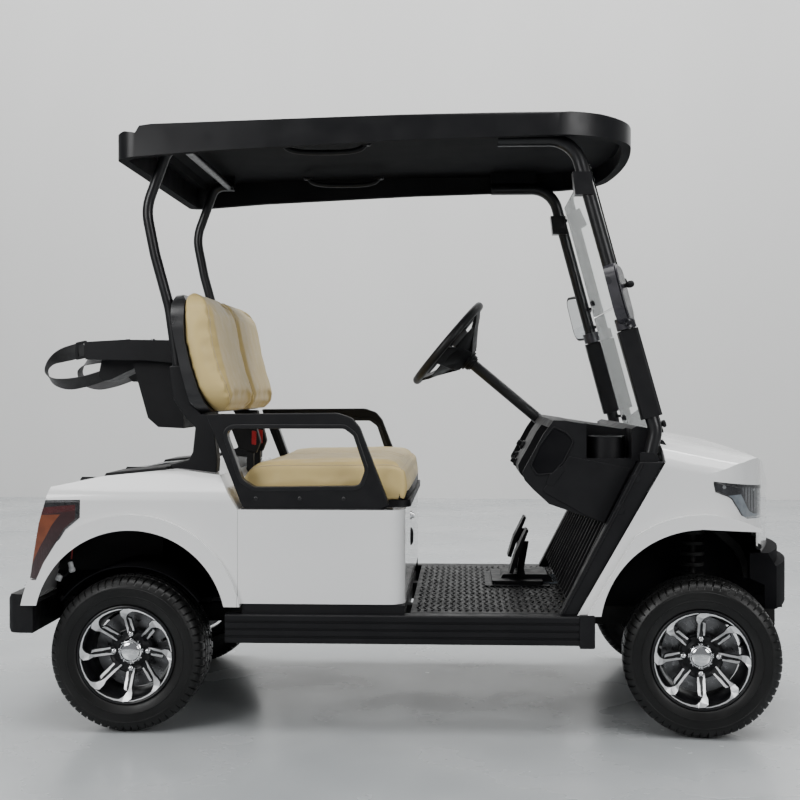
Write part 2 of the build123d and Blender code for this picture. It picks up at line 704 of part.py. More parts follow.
with BuildPart() as rockers:
    wide = ROCKER_OUT - ROCKER_IN
    rocker_long = WHEELBASE + ROCKER_FRONT - ROCKER_REAR
    mid_z = (ROCKER_LOW + FLOOR_TOP) / 2
    for _, sign in SIDES:
        mid_y = sign * (ROCKER_IN + wide / 2)
        with BuildSketch(front(REAR_X + ROCKER_REAR)):
            with Locations((mid_y, mid_z)):
                RectangleRounded(wide, FLOOR_TOP - ROCKER_LOW, 6)
            # three grooves along the outer face
            with Locations(*[(sign * ROCKER_OUT, ROCKER_LOW + 20 + 21 * i) for i in range(3)]):
                Rectangle(8, 7, mode=Mode.SUBTRACT)
            with Locations((mid_y, mid_z)):
                Rectangle(wide - 16, FLOOR_TOP - ROCKER_LOW - 12, mode=Mode.SUBTRACT)
        extrude(amount=rocker_long)
        # step under the seat pod
        with BuildSketch(plan(REAR_X, FLOOR_TOP)):
            with Locations((570, sign * (ROCKER_IN + 20))):
                Rectangle(470, 34)
        extrude(amount=POD_LOW - 2 - FLOOR_TOP)
        # end cap
        with BuildSketch(front(FRONT_X + ROCKER_FRONT - 34)):
            with Locations((mid_y, mid_z)):
                Rectangle(wide - 16, FLOOR_TOP - ROCKER_LOW - 12)
        extrude(amount=34)
rockers.part.label = "rockers"
export_step(rockers.part, "parts/rockers.step")

# ---- bumpers ----
with BuildPart() as front_bumper:
    nose = FRONT_OVERHANG
    # (height of the foot, height of the head, set-back of the face)
    for low, high, back in ((BUMPER_LOW, 468, 0), (466, BUMPER_TOP, 24)):
        with BuildSketch(plan(FRONT_X, low)):
            with BuildLine():
                arc = ThreePointArc(
                    (nose - back - BUMPER_SAG, -BUMPER_HALF), (nose - back, 0), (nose - back - BUMPER_SAG, BUMPER_HALF)
                )
                Polyline(arc @ 1, (nose - back - BUMPER_SAG - 12, BUMPER_HALF))
                ThreePointArc(
                    (nose - back - BUMPER_SAG - 12, BUMPER_HALF), (nose - back - 12, 0),
                    (nose - back - BUMPER_SAG - 12, -BUMPER_HALF),
                )
                Polyline((nose - back - BUMPER_SAG - 12, -BUMPER_HALF), arc @ 0)
            make_face()
        extrude(amount=high - low)
    # shelf between the two steps and the top plate that reaches back under the nose panel
    for low, thick, ahead, deep in ((462, BUMPER_WALL, 6, 34), (BUMPER_TOP - BUMPER_WALL, BUMPER_WALL, 30, 60)):
        with BuildSketch(plan(FRONT_X, low)):
            with BuildLine():
                inner = ThreePointArc(
                    (nose - ahead - BUMPER_SAG, -BUMPER_HALF), (nose - ahead, 0), (nose - ahead - BUMPER_SAG, BUMPER_HALF)
                )
                Polyline(inner @ 1, (nose - ahead - BUMPER_SAG - deep + 28, BUMPER_HALF))
                ThreePointArc(
                    (nose - ahead - BUMPER_SAG - deep + 28, BUMPER_HALF), (nose - ahead - deep, 0),
                    (nose - ahead - BUMPER_SAG - deep + 28, -BUMPER_HALF),
                )
                Polyline((nose - ahead - BUMPER_SAG - deep + 28, -BUMPER_HALF), inner @ 0)
            make_face()
        extrude(amount=thick)
    # end wings that run back above the tyres
    for _, sign in SIDES:
        with BuildSketch(side(FRONT_X, sign * (BUMPER_HALF - 6) + 6)):
            Polygon(
                (160, 430), (160, BUMPER_TOP), (nose - BUMPER_SAG - 26, BUMPER_TOP), (nose - BUMPER_SAG - 2, 466),
                (nose - BUMPER_SAG - 2, BUMPER_LOW), (204, BUMPER_LOW), (204, 410), align=None,
            )
        extrude(amount=12)
    # stays that meet the ends of the frame rails
    for _, sign in SIDES:
        with BuildSketch(plan(FRONT_X, RAIL_TOP)):
            with Locations((RAIL_FRONT - WHEELBASE - 19, sign * RAIL_Y)):
                Rectangle(84, 40)
        extrude(amount=40)
front_bumper.part.label = "front_bumper"
export_step(front_bumper.part, "parts/front_bumper.step")

REAR_BUMPER_HALF = 565
with BuildPart() as rear_bumper:
    with BuildSketch(side(REAR_X, REAR_BUMPER_HALF)):
        Polygon(
            (-REAR_OVERHANG, 298), (-REAR_OVERHANG, 372), (-350, 394), (-312, 394), (-322, 363),
            (RAIL_REAR, 363), (RAIL_REAR, 281), (-350, 281), align=None,
        )
    extrude(amount=2 * REAR_BUMPER_HALF)
    with BuildSketch(plan(REAR_X, 200)) as outline:
        with Locations(((-REAR_OVERHANG + RAIL_REAR) / 2, 0)):
            Rectangle(REAR_OVERHANG + RAIL_REAR, 2 * REAR_BUMPER_HALF)
        fillet(outline.vertices().group_by(Axis.X)[0], 50)
    extrude(amount=300, mode=Mode.INTERSECT)
rear_bumper.part.label = "rear_bumper"
export_step(rear_bumper.part, "parts/rear_bumper.step")

# ---- dash: hollow moulding with two open pockets and two cup holders ----
DASH_HALF = 505
DASH_WALL = 4
CUP_BORE = 41
CUP_WALL = 13
CUP_DEEP = 48
CUP_TOP = 853
CUP_LOW = 792
CUP_X = -270
CUP_Y = 430


def kick_back(z, gap):
    """Station of the kick panel's rear face at height z, less a gap."""
    lean = (KICK_HEAD - 72 - KICK_FOOT + 48) / (KICK_TOP - FLOOR_TOP)
    return KICK_FOOT - 48 + lean * (z - FLOOR_TOP) - gap


with BuildPart() as dash:
    with BuildSketch(side(FRONT_X, DASH_HALF)):
        dash_outline = Polygon(
            (-430, 903), (-461, 860), (-497, 794), (-520, 752), (-514, 728), (-490, 702), (-443, 659),
            (kick_back(604, SEAT), 604), (kick_back(KICK_TOP, SEAT), KICK_TOP + SEAT),
            (-134, KICK_TOP + SEAT), (-134, 862), (-152, 880), (-190, 886), (-214, 874), (-400, 902), align=None,
        )
    extrude(amount=2 * DASH_HALF)
    fillet(dash.edges().filter_by(Axis.Y).group_by(Axis.X)[0], 12)
    # pockets to the left and right of the middle column
    for _, sign in SIDES:
        with BuildSketch(side(FRONT_X, sign * 325 + 165)):
            Polygon((-560, 716), (-470, 716), (-400, 782), (-366, 850), (-375, 882), (-560, 882), align=None)
        extrude(amount=330, mode=Mode.SUBTRACT)
        # sunk shelf, open to the side, with a round cup holder standing in it
        with BuildSketch(plan(FRONT_X, CUP_LOW)):
            with Locations((CUP_X, sign * (CUP_Y + 20))):
                Rectangle(130, 160)
        extrude(amount=200, mode=Mode.SUBTRACT)
        with BuildSketch(plan(FRONT_X, CUP_LOW)):
            with Locations((CUP_X, sign * CUP_Y)):
                Circle(CUP_BORE + CUP_WALL)
        extrude(amount=CUP_TOP - CUP_LOW)
        with BuildSketch(plan(FRONT_X, CUP_TOP - CUP_DEEP)):
            with Locations((CUP_X, sign * CUP_Y)):
                Circle(CUP_BORE)
        extrude(amount=CUP_DEEP, mode=Mode.SUBTRACT)
    # bore for the steering column
    column_dir = Vector(cos(radians(WHEEL_RAKE)), 0, -sin(radians(WHEEL_RAKE)))
    column_top = Vector(FRONT_X + WHEEL_X, WHEEL_Y, WHEEL_Z)
    with BuildSketch(Plane(origin=column_top, z_dir=column_dir)):
        Circle(COLUMN_R + 1)
    extrude(amount=COLUMN_LENGTH + 20, mode=Mode.SUBTRACT)
dash.part.label = "dash"
export_step(dash.part, "parts/dash.step")

# ---- steering: column, wheel, axle beam, knuckles and tie rod ----
with BuildPart() as steering_column:
    with BuildSketch(Plane(origin=column_top + column_dir * 42, z_dir=column_dir)):
        Circle(COLUMN_R)
    extrude(amount=COLUMN_LENGTH - 42)
    with BuildSketch(Plane(origin=column_top + column_dir * 40, z_dir=column_dir)):
        Circle(COLUMN_R + 7)
    extrude(amount=60)
steering_column.part.label = "steering_column"
export_step(steering_column.part, "parts/steering_column.step")

with BuildPart() as steering_wheel:
    wheel_plane = Plane(origin=column_top, x_dir=(0, 1, 0), z_dir=column_dir * -1)
    with BuildSketch(Plane(origin=wheel_plane.origin, x_dir=wheel_plane.z_dir, z_dir=wheel_plane.x_dir)):
        with Locations((0, WHEEL_GRIP_R)):
            Circle(GRIP_THICK_R)
    revolve(axis=Axis(wheel_plane.origin, wheel_plane.z_dir))
    with BuildSketch(wheel_plane.offset(-39.5)):
        Circle(30)
    extrude(amount=44)
    with BuildSketch(wheel_plane.offset(-2)):
        Circle(48)
    extrude(amount=14)
    with BuildSketch(wheel_plane.offset(-6)):
        for angle in (0, 90, 180):
            with Locations(Rot(0, 0, angle) * Pos((WHEEL_GRIP_R + 20) / 2, 0)):
                Rectangle(WHEEL_GRIP_R - 25, 34)
    extrude(amount=8)
steering_wheel.part.label = "steering_wheel"
export_step(steering_wheel.part, "parts/steering_wheel.step")

with BuildPart() as front_axle:
    beam_half = KINGPIN_Y - EYE_R + 4
    add(box_tube((FRONT_X, 0, TYRE_R), (46, 2 * beam_half, 40), 4, 1))
    for _, sign in SIDES:
        with BuildSketch(plan(FRONT_X, TYRE_R - EYE_HIGH / 2)):
            with Locations((0, sign * KINGPIN_Y)):
                Circle(EYE_R)
        extrude(amount=EYE_HIGH)
        with BuildSketch(plan(FRONT_X, TYRE_R + 20)):
            with Locations((0, sign * RAIL_Y)):
                Rectangle(60, RAIL_WIDE)
        extrude(amount=RAIL_LOW - TYRE_R - 20)
    for _, sign in SIDES:
        with BuildSketch(plan(FRONT_X, TYRE_R - EYE_HIGH)):
            with Locations((0, sign * KINGPIN_Y)):
                Circle(KINGPIN_R + SEAT)
        extrude(amount=2 * EYE_HIGH, mode=Mode.SUBTRACT)
front_axle.part.label = "front_axle"
export_step(front_axle.part, "parts/front_axle.step")

EAR_THICK = 14
EAR_GAP = 0.5
DISC_BACK = HUB_FACE - HUB_THICK - SEAT - 22
for label, sign in SIDES:
    pivot = Pos(FRONT_X, sign * KINGPIN_Y, 0) * Rot(0, 0, REST_STEER)
    spindle_long = TYRE_MID - KINGPIN_Y + HUB_FACE - 2
    web_out = TYRE_MID - KINGPIN_Y + DISC_BACK - 2
    with BuildPart() as knuckle_blank:
        for low in (TYRE_R + EYE_HIGH / 2 + EAR_GAP, TYRE_R - EYE_HIGH / 2 - EAR_GAP - EAR_THICK):
            with BuildSketch(Plane.XY.offset(low)):
                Circle(EYE_R)
                with Locations((0, sign * web_out / 2)):
                    Rectangle(2 * EYE_R, web_out)
            extrude(amount=EAR_THICK)
        web_high = EYE_HIGH + 2 * EAR_GAP + 2 * EAR_THICK
        with BuildSketch(Plane.XY.offset(TYRE_R - web_high / 2)):
            with Locations((0, sign * (web_out - 4))):
                Rectangle(2 * EYE_R, 8)
        extrude(amount=web_high)
        with BuildSketch(Plane.XY.offset(TYRE_R - web_high / 2 - 6)):
            Circle(KINGPIN_R)
        extrude(amount=web_high + 12)
        with BuildSketch(side(0, sign * (web_out - 4 + (spindle_long - web_out + 4) / 2) + (spindle_long - web_out + 4) / 2)):
            with Locations((0, TYRE_R)):
                Circle(SPINDLE_R)
        extrude(amount=spindle_long - web_out + 4)
        # steering arm, straight back from the lower ear
        with BuildSketch(Plane.XY.offset(ARM_Z - 19)):
            with Locations((-(ARM_LENGTH + EYE_R) / 2, 0)):
                Rectangle(ARM_LENGTH - EYE_R + 20, 16)
            with Locations((-ARM_LENGTH, 0)):
                Circle(11)
        extrude(amount=8)
        with BuildSketch(Plane.XY.offset(ARM_Z - 24)):
            with Locations((-ARM_LENGTH, 0)):
                Circle(5)
        extrude(amount=36)
    with BuildPart() as knuckle:
        with Locations(pivot):
            add(knuckle_blank.part)
    knuckle.part.label = f"knuckle_{label}"
    export_step(knuckle.part, f"parts/knuckle_{label}.step")

arm_end_x = FRONT_X - ARM_LENGTH * cos(radians(REST_STEER))
arm_end_y = -ARM_LENGTH * sin(radians(REST_STEER))
with BuildPart() as tie_rod:
    with BuildSketch(side(arm_end_x, arm_end_y + KINGPIN_Y - 8)):
        with Locations((0, ARM_Z)):
            Circle(7)
    extrude(amount=2 * KINGPIN_Y - 16)
    for _, sign in SIDES:
        with BuildSketch(Plane.XY.offset(ARM_Z - 8)):
            with Locations((arm_end_x, arm_end_y + sign * KINGPIN_Y)):
                Circle(11)
        extrude(amount=16)
    for _, sign in SIDES:
        with BuildSketch(Plane.XY.offset(ARM_Z - 20)):
            with Locations((arm_end_x, arm_end_y + sign * KINGPIN_Y)):
                Circle(5 + SEAT)
        extrude(amount=40, mode=Mode.SUBTRACT)
tie_rod.part.label = "tie_rod"
export_step(tie_rod.part, "parts/tie_rod.step")

STRUT_FOOT = TYRE_R + 20
COIL_TURNS = 8
with BuildPart() as front_struts:
    for _, sign in SIDES:
        with BuildSketch(plan(FRONT_X, STRUT_FOOT)):
            with Locations((0, sign * STRUT_Y)):
                Circle(22)
        extrude(amount=190)
        with BuildSketch(plan(FRONT_X, STRUT_FOOT)):
            with Locations((0, sign * STRUT_Y)):
                Circle(10)
        extrude(amount=TOWER_TOP - STRUT_FOOT)
        for turn in range(COIL_TURNS):
            with BuildSketch(plan(FRONT_X, STRUT_FOOT + 120 + 32 * turn)):
                with Locations((0, sign * STRUT_Y)):
                    Circle(36)
            extrude(amount=10)
front_struts.part.label = "front_struts"
export_step(front_struts.part, "parts/front_struts.step")

# ---- pedals ----
PEDAL_X = -514
PEDAL_Y = 160
with BuildPart() as pedals:
    with BuildSketch(plan(FRONT_X, FLOOR_TOP)) as foot_plate:
        with Locations((PEDAL_X, PEDAL_Y)):
            Rectangle(212, 360)
        fillet(foot_plate.vertices(), 14)
    extrude(amount=6)
    with BuildSketch(plan(FRONT_X, FLOOR_TOP)) as raised:
        with Locations((PEDAL_X, PEDAL_Y)):
            Rectangle(166, 310)
        fillet(raised.vertices(), 8)
    extrude(amount=18)
    for centre, low, high in ((PEDAL_Y + 85, 430, 553), (PEDAL_Y - 75, 395, 525)):
        with BuildSketch(side(FRONT_X, centre + 14)):
            Polygon((-514, 360), (-482, 360), (-490, low), (-474, high - 40), (-500, high - 40), (-512, low), align=None)
        extrude(amount=28)
        with BuildSketch(side(FRONT_X, centre + 45)):
            Polygon(
                (-540, low - 10), (-528, low - 14), (-506, low + 50), (-476, high), (-484, high + 4), (-520, low + 56),
                align=None,
            )
        extrude(amount=90)
pedals.part.label = "pedals"
export_step(pedals.part, "parts/pedals.step")

# ---- roof ----
REAR_RAIL_Z = 1724
FRONT_RAIL_Z = 1722
ROOF_REAR = -40
ROOF_NOSE = -166
ROOF_BOW = 61
ROOF_LONG = WHEELBASE + ROOF_NOSE - ROOF_REAR


def roof_form(inset, drop):
    """Closed form of the roof with its rim drawn in by inset and its top and foot lowered by drop."""
    half = ROOF_HALF - inset
    rear = ROOF_REAR + inset
    nose = WHEELBASE + ROOF_NOSE - inset
    foot = 20 if drop else 0
    with BuildPart() as form:
        with BuildSketch(side(REAR_X, half)):
            Polygon(
                (rear, 1663 - foot), (232, 1683 - foot), (792, 1709 - foot), (WHEELBASE - 388, 1722 - foot),
                (nose, 1722 - foot), (nose, 1770 - drop), (WHEELBASE - 200, 1782 - drop),
                (WHEELBASE - 248, 1785 - drop), (WHEELBASE - 296, 1788 - drop), (WHEELBASE - 430, 1789 - drop),
                (792, 1782 - drop), (70, 1762 - drop), (34, 1757 - drop), (22, 1737 - drop), (-12, 1743 - drop),
                (rear, 1736 - drop), align=None,
            )
        extrude(amount=2 * half)
        with BuildSketch(plan(REAR_X, 1500)) as outline:
            with BuildLine():
                bow = ThreePointArc((nose - ROOF_BOW, -half), (nose, 0), (nose - ROOF_BOW, half))
                Polyline(bow @ 1, (rear, half), (rear, -half), bow @ 0)
            make_face()
            fillet(outline.vertices().group_by(Axis.X)[0], 60 - inset / 2)
            fillet(outline.vertices().group_by(Axis.X)[-1], 270 - inset)
        extrude(amount=400, mode=Mode.INTERSECT)
        with BuildSketch(front(REAR_X - 100)) as section:
            with Locations((0, 1689 - drop)):
                Rectangle(2 * half, 200)
            fillet(section.vertices().group_by(Axis.Y)[-1], 12)
        extrude(amount=1800, mode=Mode.INTERSECT)
    return form.part


roof_skin = roof_form(0, 0)
roof_core = roof_form(28, ROOF_WALL)
with BuildPart() as roof:
    add(roof_skin)
    add(roof_core, mode=Mode.SUBTRACT)
    # pads under the shell that sit on the four rails
    for low, high, y, foot, head in (
        (75, 150, REAR_POST_Y, REAR_RAIL_Z + REAR_POST_R + SEAT, 1760),
        (WHEELBASE - 592, WHEELBASE - 430, 489, FRONT_RAIL_Z + FRONT_POST_R + SEAT, 1784),
    ):
        with BuildSketch(plan(REAR_X, foot)):
            for _, sign in SIDES:
                with Locations(((low + high) / 2, sign * y)):
                    Rectangle(high - low, 24)
        extrude(amount=head - foot)
roof.part.label = "roof"
export_step(roof.part, "parts/roof.step")

# ---- roof posts ----
with BuildPart() as rear_roof_frame:
    for _, sign in SIDES:
        y = sign * REAR_POST_Y
        points = [
            (REAR_X + 150, y, REAR_RAIL_Z), (REAR_X + 80, y, REAR_RAIL_Z), (REAR_X + 12, y, 1540),
            (REAR_X + 40, y, 1400), (REAR_X + 84, y, 1240), (REAR_X + 112, y, 1040),
        ]
        add(tube_run(points, (45, 150, 300, 300), REAR_POST_R, 2.5))
    with BuildSketch(side(REAR_X, REAR_POST_Y - REAR_POST_R + 3)):
        with Locations((130, REAR_RAIL_Z)):
            Circle(13)
    extrude(amount=2 * (REAR_POST_Y - REAR_POST_R + 3))
rear_roof_frame.part.label = "rear_roof_frame"
export_step(rear_roof_frame.part, "parts/rear_roof_frame.step")

POST_HEAD = -372
POST_HEAD_Y = 490
LATCH_Z = 1595
POST_KNEE = -139
POST_KNEE_Z = 872
SLEEVE_LOW = 912
SLEEVE_TOP = 1164
PANE_OFF = 24
PANE_SPLIT = 1252


def post_x(z):
    """Station of the front post's centre line at height z."""
    return POST_KNEE + (POST_HEAD - POST_KNEE) * (z - POST_KNEE_Z) / (FRONT_RAIL_Z - POST_KNEE_Z)


def post_y(z):
    """Distance of the front post's centre line from the middle at height z."""
    return FRONT_POST_Y + (POST_HEAD_Y - FRONT_POST_Y) * (z - POST_KNEE_Z) / (FRONT_RAIL_Z - POST_KNEE_Z)


with BuildPart() as front_roof_frame:
    for _, sign in SIDES:
        y = sign * FRONT_POST_Y
        points = [
            (FRONT_X - 592, sign * 488, FRONT_RAIL_Z), (FRONT_X + POST_HEAD, sign * POST_HEAD_Y, FRONT_RAIL_Z),
            (FRONT_X + POST_KNEE, y, POST_KNEE_Z), (FRONT_X - 158, y, KICK_TOP + 4.5),
        ]
        add(tube_run(points, (95, 70), FRONT_POST_R, 3))
    # clips that hold the panes off the posts
    for clip_z in (893, 1215, 1280, 1600):
        clip_long = post_x(clip_z + 10) + PANE_OFF - SEAT - post_x(clip_z) - 12
        clip_wide = post_y(clip_z) - GLASS_HALF + 24
        for _, sign in SIDES:
            with BuildSketch(plan(FRONT_X, clip_z)):
                with Locations((post_x(clip_z) + 12 + clip_long / 2, sign * (GLASS_HALF - 24 + clip_wide / 2))):
                    Rectangle(clip_long, clip_wide)
            extrude(amount=10)
    # latch blocks round the posts near the head of the upper pane
    for _, sign in SIDES:
        with BuildSketch(side(FRONT_X, sign * post_y(LATCH_Z) + 25)):
            Polygon(
                (post_x(LATCH_Z) - 32, LATCH_Z - 38), (post_x(LATCH_Z) + PANE_OFF - 2, LATCH_Z - 38),
                (post_x(LATCH_Z + 28) + PANE_OFF - 2, LATCH_Z + 28), (post_x(LATCH_Z + 28) - 32, LATCH_Z + 28),
                align=None,
            )
        extrude(amount=50)
front_roof_frame.part.label = "front_roof_frame"
export_step(front_roof_frame.part, "parts/front_roof_frame.step")

post_foot = Vector(FRONT_X + POST_KNEE, FRONT_POST_Y, POST_KNEE_Z)
post_head = Vector(FRONT_X + POST_HEAD, POST_HEAD_Y, FRONT_RAIL_Z)


def post_plane(z, sign):
    """Plane square to a front post where its centre line passes height z."""
    share = (z - POST_KNEE_Z) / (FRONT_RAIL_Z - POST_KNEE_Z)
    at = post_foot + (post_head - post_foot) * share
    run = (post_head - post_foot).normalized()
    return Plane(origin=(at.X, sign * at.Y, at.Z), x_dir=(0, 1, 0), z_dir=(run.X, sign * run.Y, run.Z))


with BuildPart() as post_sleeves:
    for _, sign in SIDES:
        with BuildSketch(post_plane(SLEEVE_LOW, sign)):
            RectangleRounded(48, 2 * SLEEVE_HALF, 9)
            Circle(FRONT_POST_R + SEAT, mode=Mode.SUBTRACT)
        extrude(amount=(SLEEVE_TOP - SLEEVE_LOW) / (post_head - post_foot).normalized().Z)
post_sleeves.part.label = "post_sleeves"
export_step(post_sleeves.part, "parts/post_sleeves.step")

with BuildPart() as windshield:
    # (foot, head) of the lower and upper pane
    for low, high in ((867, PANE_SPLIT - 2), (PANE_SPLIT + 2, 1650)):
        with BuildSketch(side(FRONT_X, GLASS_HALF)):
            Polygon(
                (post_x(low) + PANE_OFF, low), (post_x(low) + PANE_OFF + GLASS_THICK, low),
                (post_x(high) + PANE_OFF + GLASS_THICK, high), (post_x(high) + PANE_OFF, high), align=None,
            )
        extrude(amount=2 * GLASS_HALF)
windshield.part.label = "windshield"
export_step(windshield.part, "parts/windshield.step")

MIRROR_Z = 1184
MIRROR_X = -257
MIRROR_Y = 625
MIRROR_MID_Z = 1261
MIRROR_WIDE = 130
MIRROR_HIGH = 168
MIRROR_THICK = 30
MIRROR_TURN = 16
with BuildPart() as mirrors:
    for _, sign in SIDES:
        with BuildSketch(post_plane(MIRROR_Z - 17, sign)):
            Circle(FRONT_POST_R + 9)
            Circle(FRONT_POST_R + SEAT, mode=Mode.SUBTRACT)
        extrude(amount=34)
        start = post_plane(MIRROR_Z, sign).origin
        reach = MIRROR_Y - start.Y * sign - FRONT_POST_R - 4
        with BuildSketch(Plane(origin=(start.X, start.Y + sign * (FRONT_POST_R + 4), start.Z), z_dir=(0, sign, 0))):
            Circle(10)
        extrude(amount=reach)
        # the housing leans with the post and turns in towards the driver
        lean = (post_head - post_foot).normalized()
        lean = Vector(lean.X, 0, lean.Z).normalized()
        across = Vector(-sin(radians(MIRROR_TURN)) * sign, cos(radians(MIRROR_TURN)), 0)
        face = lean.cross(across)
        centre = Vector(FRONT_X + MIRROR_X, sign * MIRROR_Y, MIRROR_MID_Z)
        with BuildSketch(Plane(origin=centre - face * (MIRROR_THICK / 2), x_dir=across, z_dir=face)):
            RectangleRounded(MIRROR_WIDE, MIRROR_HIGH, 40)
        extrude(amount=MIRROR_THICK)
mirrors.part.label = "mirrors"
export_step(mirrors.part, "parts/mirrors.step")

# ---- lamps: thick patches of the body's own surface, seated in its pockets ----


def lamp_patch(block, skin, ahead, sign):
    """Thick patch of a body's skin within the block, hollowed by the skin moved inward."""
    inward = Pos(-ahead * LAMP_DEEP, -sign * LAMP_DEEP, 0)
    return (block & skin) - inward * skin


headlight_patches = [lamp_patch(headlight_prism(sign, SEAT), cowl_skin, 1, sign) for _, sign in SIDES]
with BuildPart() as headlights:
    for patch in headlight_patches:
        add(patch)
headlights.part.label = "headlights"
export_step(headlights.part, "parts/headlights.step")

tail_lamp_patches = [lamp_patch(tail_lamp_prism(sign, SEAT), rear_skin, -1, sign) for _, sign in SIDES]
with BuildPart() as tail_lamps:
    for patch in tail_lamp_patches:
        add(patch)
tail_lamps.part.label = "tail_lamps"
export_step(tail_lamps.part, "parts/tail_lamps.step")

# ---- seats ----
BACK_REAR = ((102, 1249), (105, 1210), (117, 1139), (132, 1065), (150, 997), (164, 950), (194, 921))
BACK_FRONT = ((226, 924), (206, 952), (188, 991), (165, 1062), (147, 1139), (141, 1262))
with BuildPart() as seat_back_shell:
    with BuildSketch(side(REAR_X, SEAT_HALF)):
        Polygon(*BACK_REAR, *BACK_FRONT, (128, 1280), (108, 1276), align=None)
    extrude(amount=2 * SEAT_HALF)
    with BuildSketch(front(REAR_X)) as outline:
        with Locations((0, 1100)):
            Rectangle(2 * SEAT_HALF, 362)
        fillet(outline.vertices().group_by(Axis.Y)[-1], 110)
        fillet(outline.vertices().group_by(Axis.Y)[0], 60)
    extrude(amount=400, mode=Mode.INTERSECT)
seat_back_shell.part.label = "seat_back_shell"
export_step(seat_back_shell.part, "parts/seat_back_shell.step")

LOBE_FRONT = ((258, 928), (282, 950), (270, 991), (252, 1050), (234, 1122), (217, 1211), (205, 1262), (181, 1281))
with BuildPart() as seat_back_cushion:
    for _, sign in SIDES:
        with BuildSketch(side(REAR_X, sign * (SEAT_HALF / 2 - 4) + SEAT_HALF / 2 - 8)):
            Polygon(
                (226 + SEAT, 926), *LOBE_FRONT, (157, 1286), (143, 1276),
                (141 + SEAT, 1262), (147 + SEAT, 1139), (165 + SEAT, 1062), (188 + SEAT, 991), (206 + SEAT, 952),
                align=None,
            )
        extrude(amount=SEAT_HALF - 16)
    with BuildSketch(front(REAR_X)) as outline:
        for _, sign in SIDES:
            with Locations((sign * (SEAT_HALF / 2 - 4), 1105)):
                RectangleRounded(SEAT_HALF - 16, 364, 85)
    extrude(amount=400, mode=Mode.INTERSECT)
seat_back_cushion.part.label = "seat_back_cushion"
export_step(seat_back_cushion.part, "parts/seat_back_cushion.step")

with BuildPart() as seat_base:
    with BuildSketch(plan(REAR_X, DECK_TOP + SEAT)):
        with Locations(((SEAT_REAR + SEAT_FRONT) / 2, 0)):
            RectangleRounded(SEAT_FRONT - SEAT_REAR - 8, 2 * SEAT_HALF - 8, 40)
    extrude(amount=SEAT_BASE_THICK)
seat_base.part.label = "seat_base"
export_step(seat_base.part, "parts/seat_base.step")

with BuildPart() as seat_cushion:
    with BuildSketch(side(REAR_X, SEAT_HALF)):
        Polygon(
            (SEAT_REAR + 8, CUSHION_LOW), (SEAT_REAR, 740), (SEAT_REAR + 30, CUSHION_TOP - 16),
            (SEAT_REAR + 110, CUSHION_TOP - 6), (SEAT_FRONT - 120, CUSHION_TOP), (SEAT_FRONT - 30, CUSHION_TOP - 6),
            (SEAT_FRONT, CUSHION_TOP - 36), (SEAT_FRONT + 4, 705), (SEAT_FRONT - 6, CUSHION_LOW), align=None,
        )
    extrude(amount=2 * SEAT_HALF)
    with BuildSketch(front(REAR_X)) as outline:
        with Locations((0, (CUSHION_LOW + CUSHION_TOP) / 2)):
            Rectangle(2 * SEAT_HALF, CUSHION_TOP - CUSHION_LOW)
        fillet(outline.vertices().group_by(Axis.Y)[-1], 45)
    extrude(amount=1000, mode=Mode.INTERSECT)
seat_cushion.part.label = "seat_cushion"
export_step(seat_cushion.part, "parts/seat_cushion.step")

with BuildPart() as armrests:
    for _, sign in SIDES:
        with BuildSketch(side(REAR_X, sign * ARMREST_Y + ARMREST_WIDE / 2)) as frame:
            Polygon(
                (227, 921), (610, 924), (651, 910), (674, 883), (761, 656), (735, DECK_TOP + SEAT), (335, DECK_TOP + SEAT),
                align=None,
            )
            fillet(frame.vertices().sort_by(Axis.X)[0], 18)
            Polygon(
                (279, 880), (630, 880), (657, 860), (691, 759), (674, 712), (367, 708), (333, 730),
                align=None, mode=Mode.SUBTRACT,
            )
        extrude(amount=ARMREST_WIDE)
armrests.part.label = "armrests"
export_step(armrests.part, "parts/armrests.step")


def deck_z(x):
    """Height of the rear body's top line at station x."""
    line = ((-228, 708), (-79, 738), (126, 758), (262, 742))
    for (x0, z0), (x1, z1) in zip(line, line[1:]):
        if x <= x1:
            return z0 + (z1 - z0) * (x - x0) / (x1 - x0)
    return line[-1][1]


def rear_slope_z(x):
    """Height just over the slope that runs from the deck down to the seat pan."""
    return 742 - (x - 262) * (742 - DECK_TOP) / 60 + 2 * SEAT


SUPPORT_IN = REAR_POST_Y + REAR_POST_R + SEAT
SUPPORT_OUT = 460
with BuildPart() as seat_supports:
    for _, sign in SIDES:
        with BuildSketch(side(REAR_X, sign * (SUPPORT_IN + SUPPORT_OUT) / 2 + (SUPPORT_OUT - SUPPORT_IN) / 2)):
            Polygon(
                (101, deck_z(101) + SEAT), (126, 758 + SEAT), (240, deck_z(240) + SEAT), (242, 782), (228, 919),
                (194 - SEAT, 919), (164 - SEAT, 949), (150 - SEAT, 996), (132 - SEAT, 1064), (97, 1062),
                (110, 965), (148, 905), (176, 880), (168, 806), (156, 782), (101, 768), align=None,
            )
        extrude(amount=SUPPORT_OUT - SUPPORT_IN)
seat_supports.part.label = "seat_supports"
export_step(seat_supports.part, "parts/seat_supports.step")

with BuildPart() as belt_buckles:
    for _, sign in SIDES:
        with BuildSketch(side(REAR_X, sign * 70 + 10)):
            Polygon((268, rear_slope_z(268)), (290, rear_slope_z(290)), (292, 800), (270, 800), align=None)
        extrude(amount=20)
        with BuildSketch(side(REAR_X, sign * 70 + 16)):
            Polygon((218, 868), (300, 876), (314, 822), (300, 786), (244, 800), align=None)
        extrude(amount=32)
belt_buckles.part.label = "belt_buckles"
export_step(belt_buckles.part, "parts/belt_buckles.step")

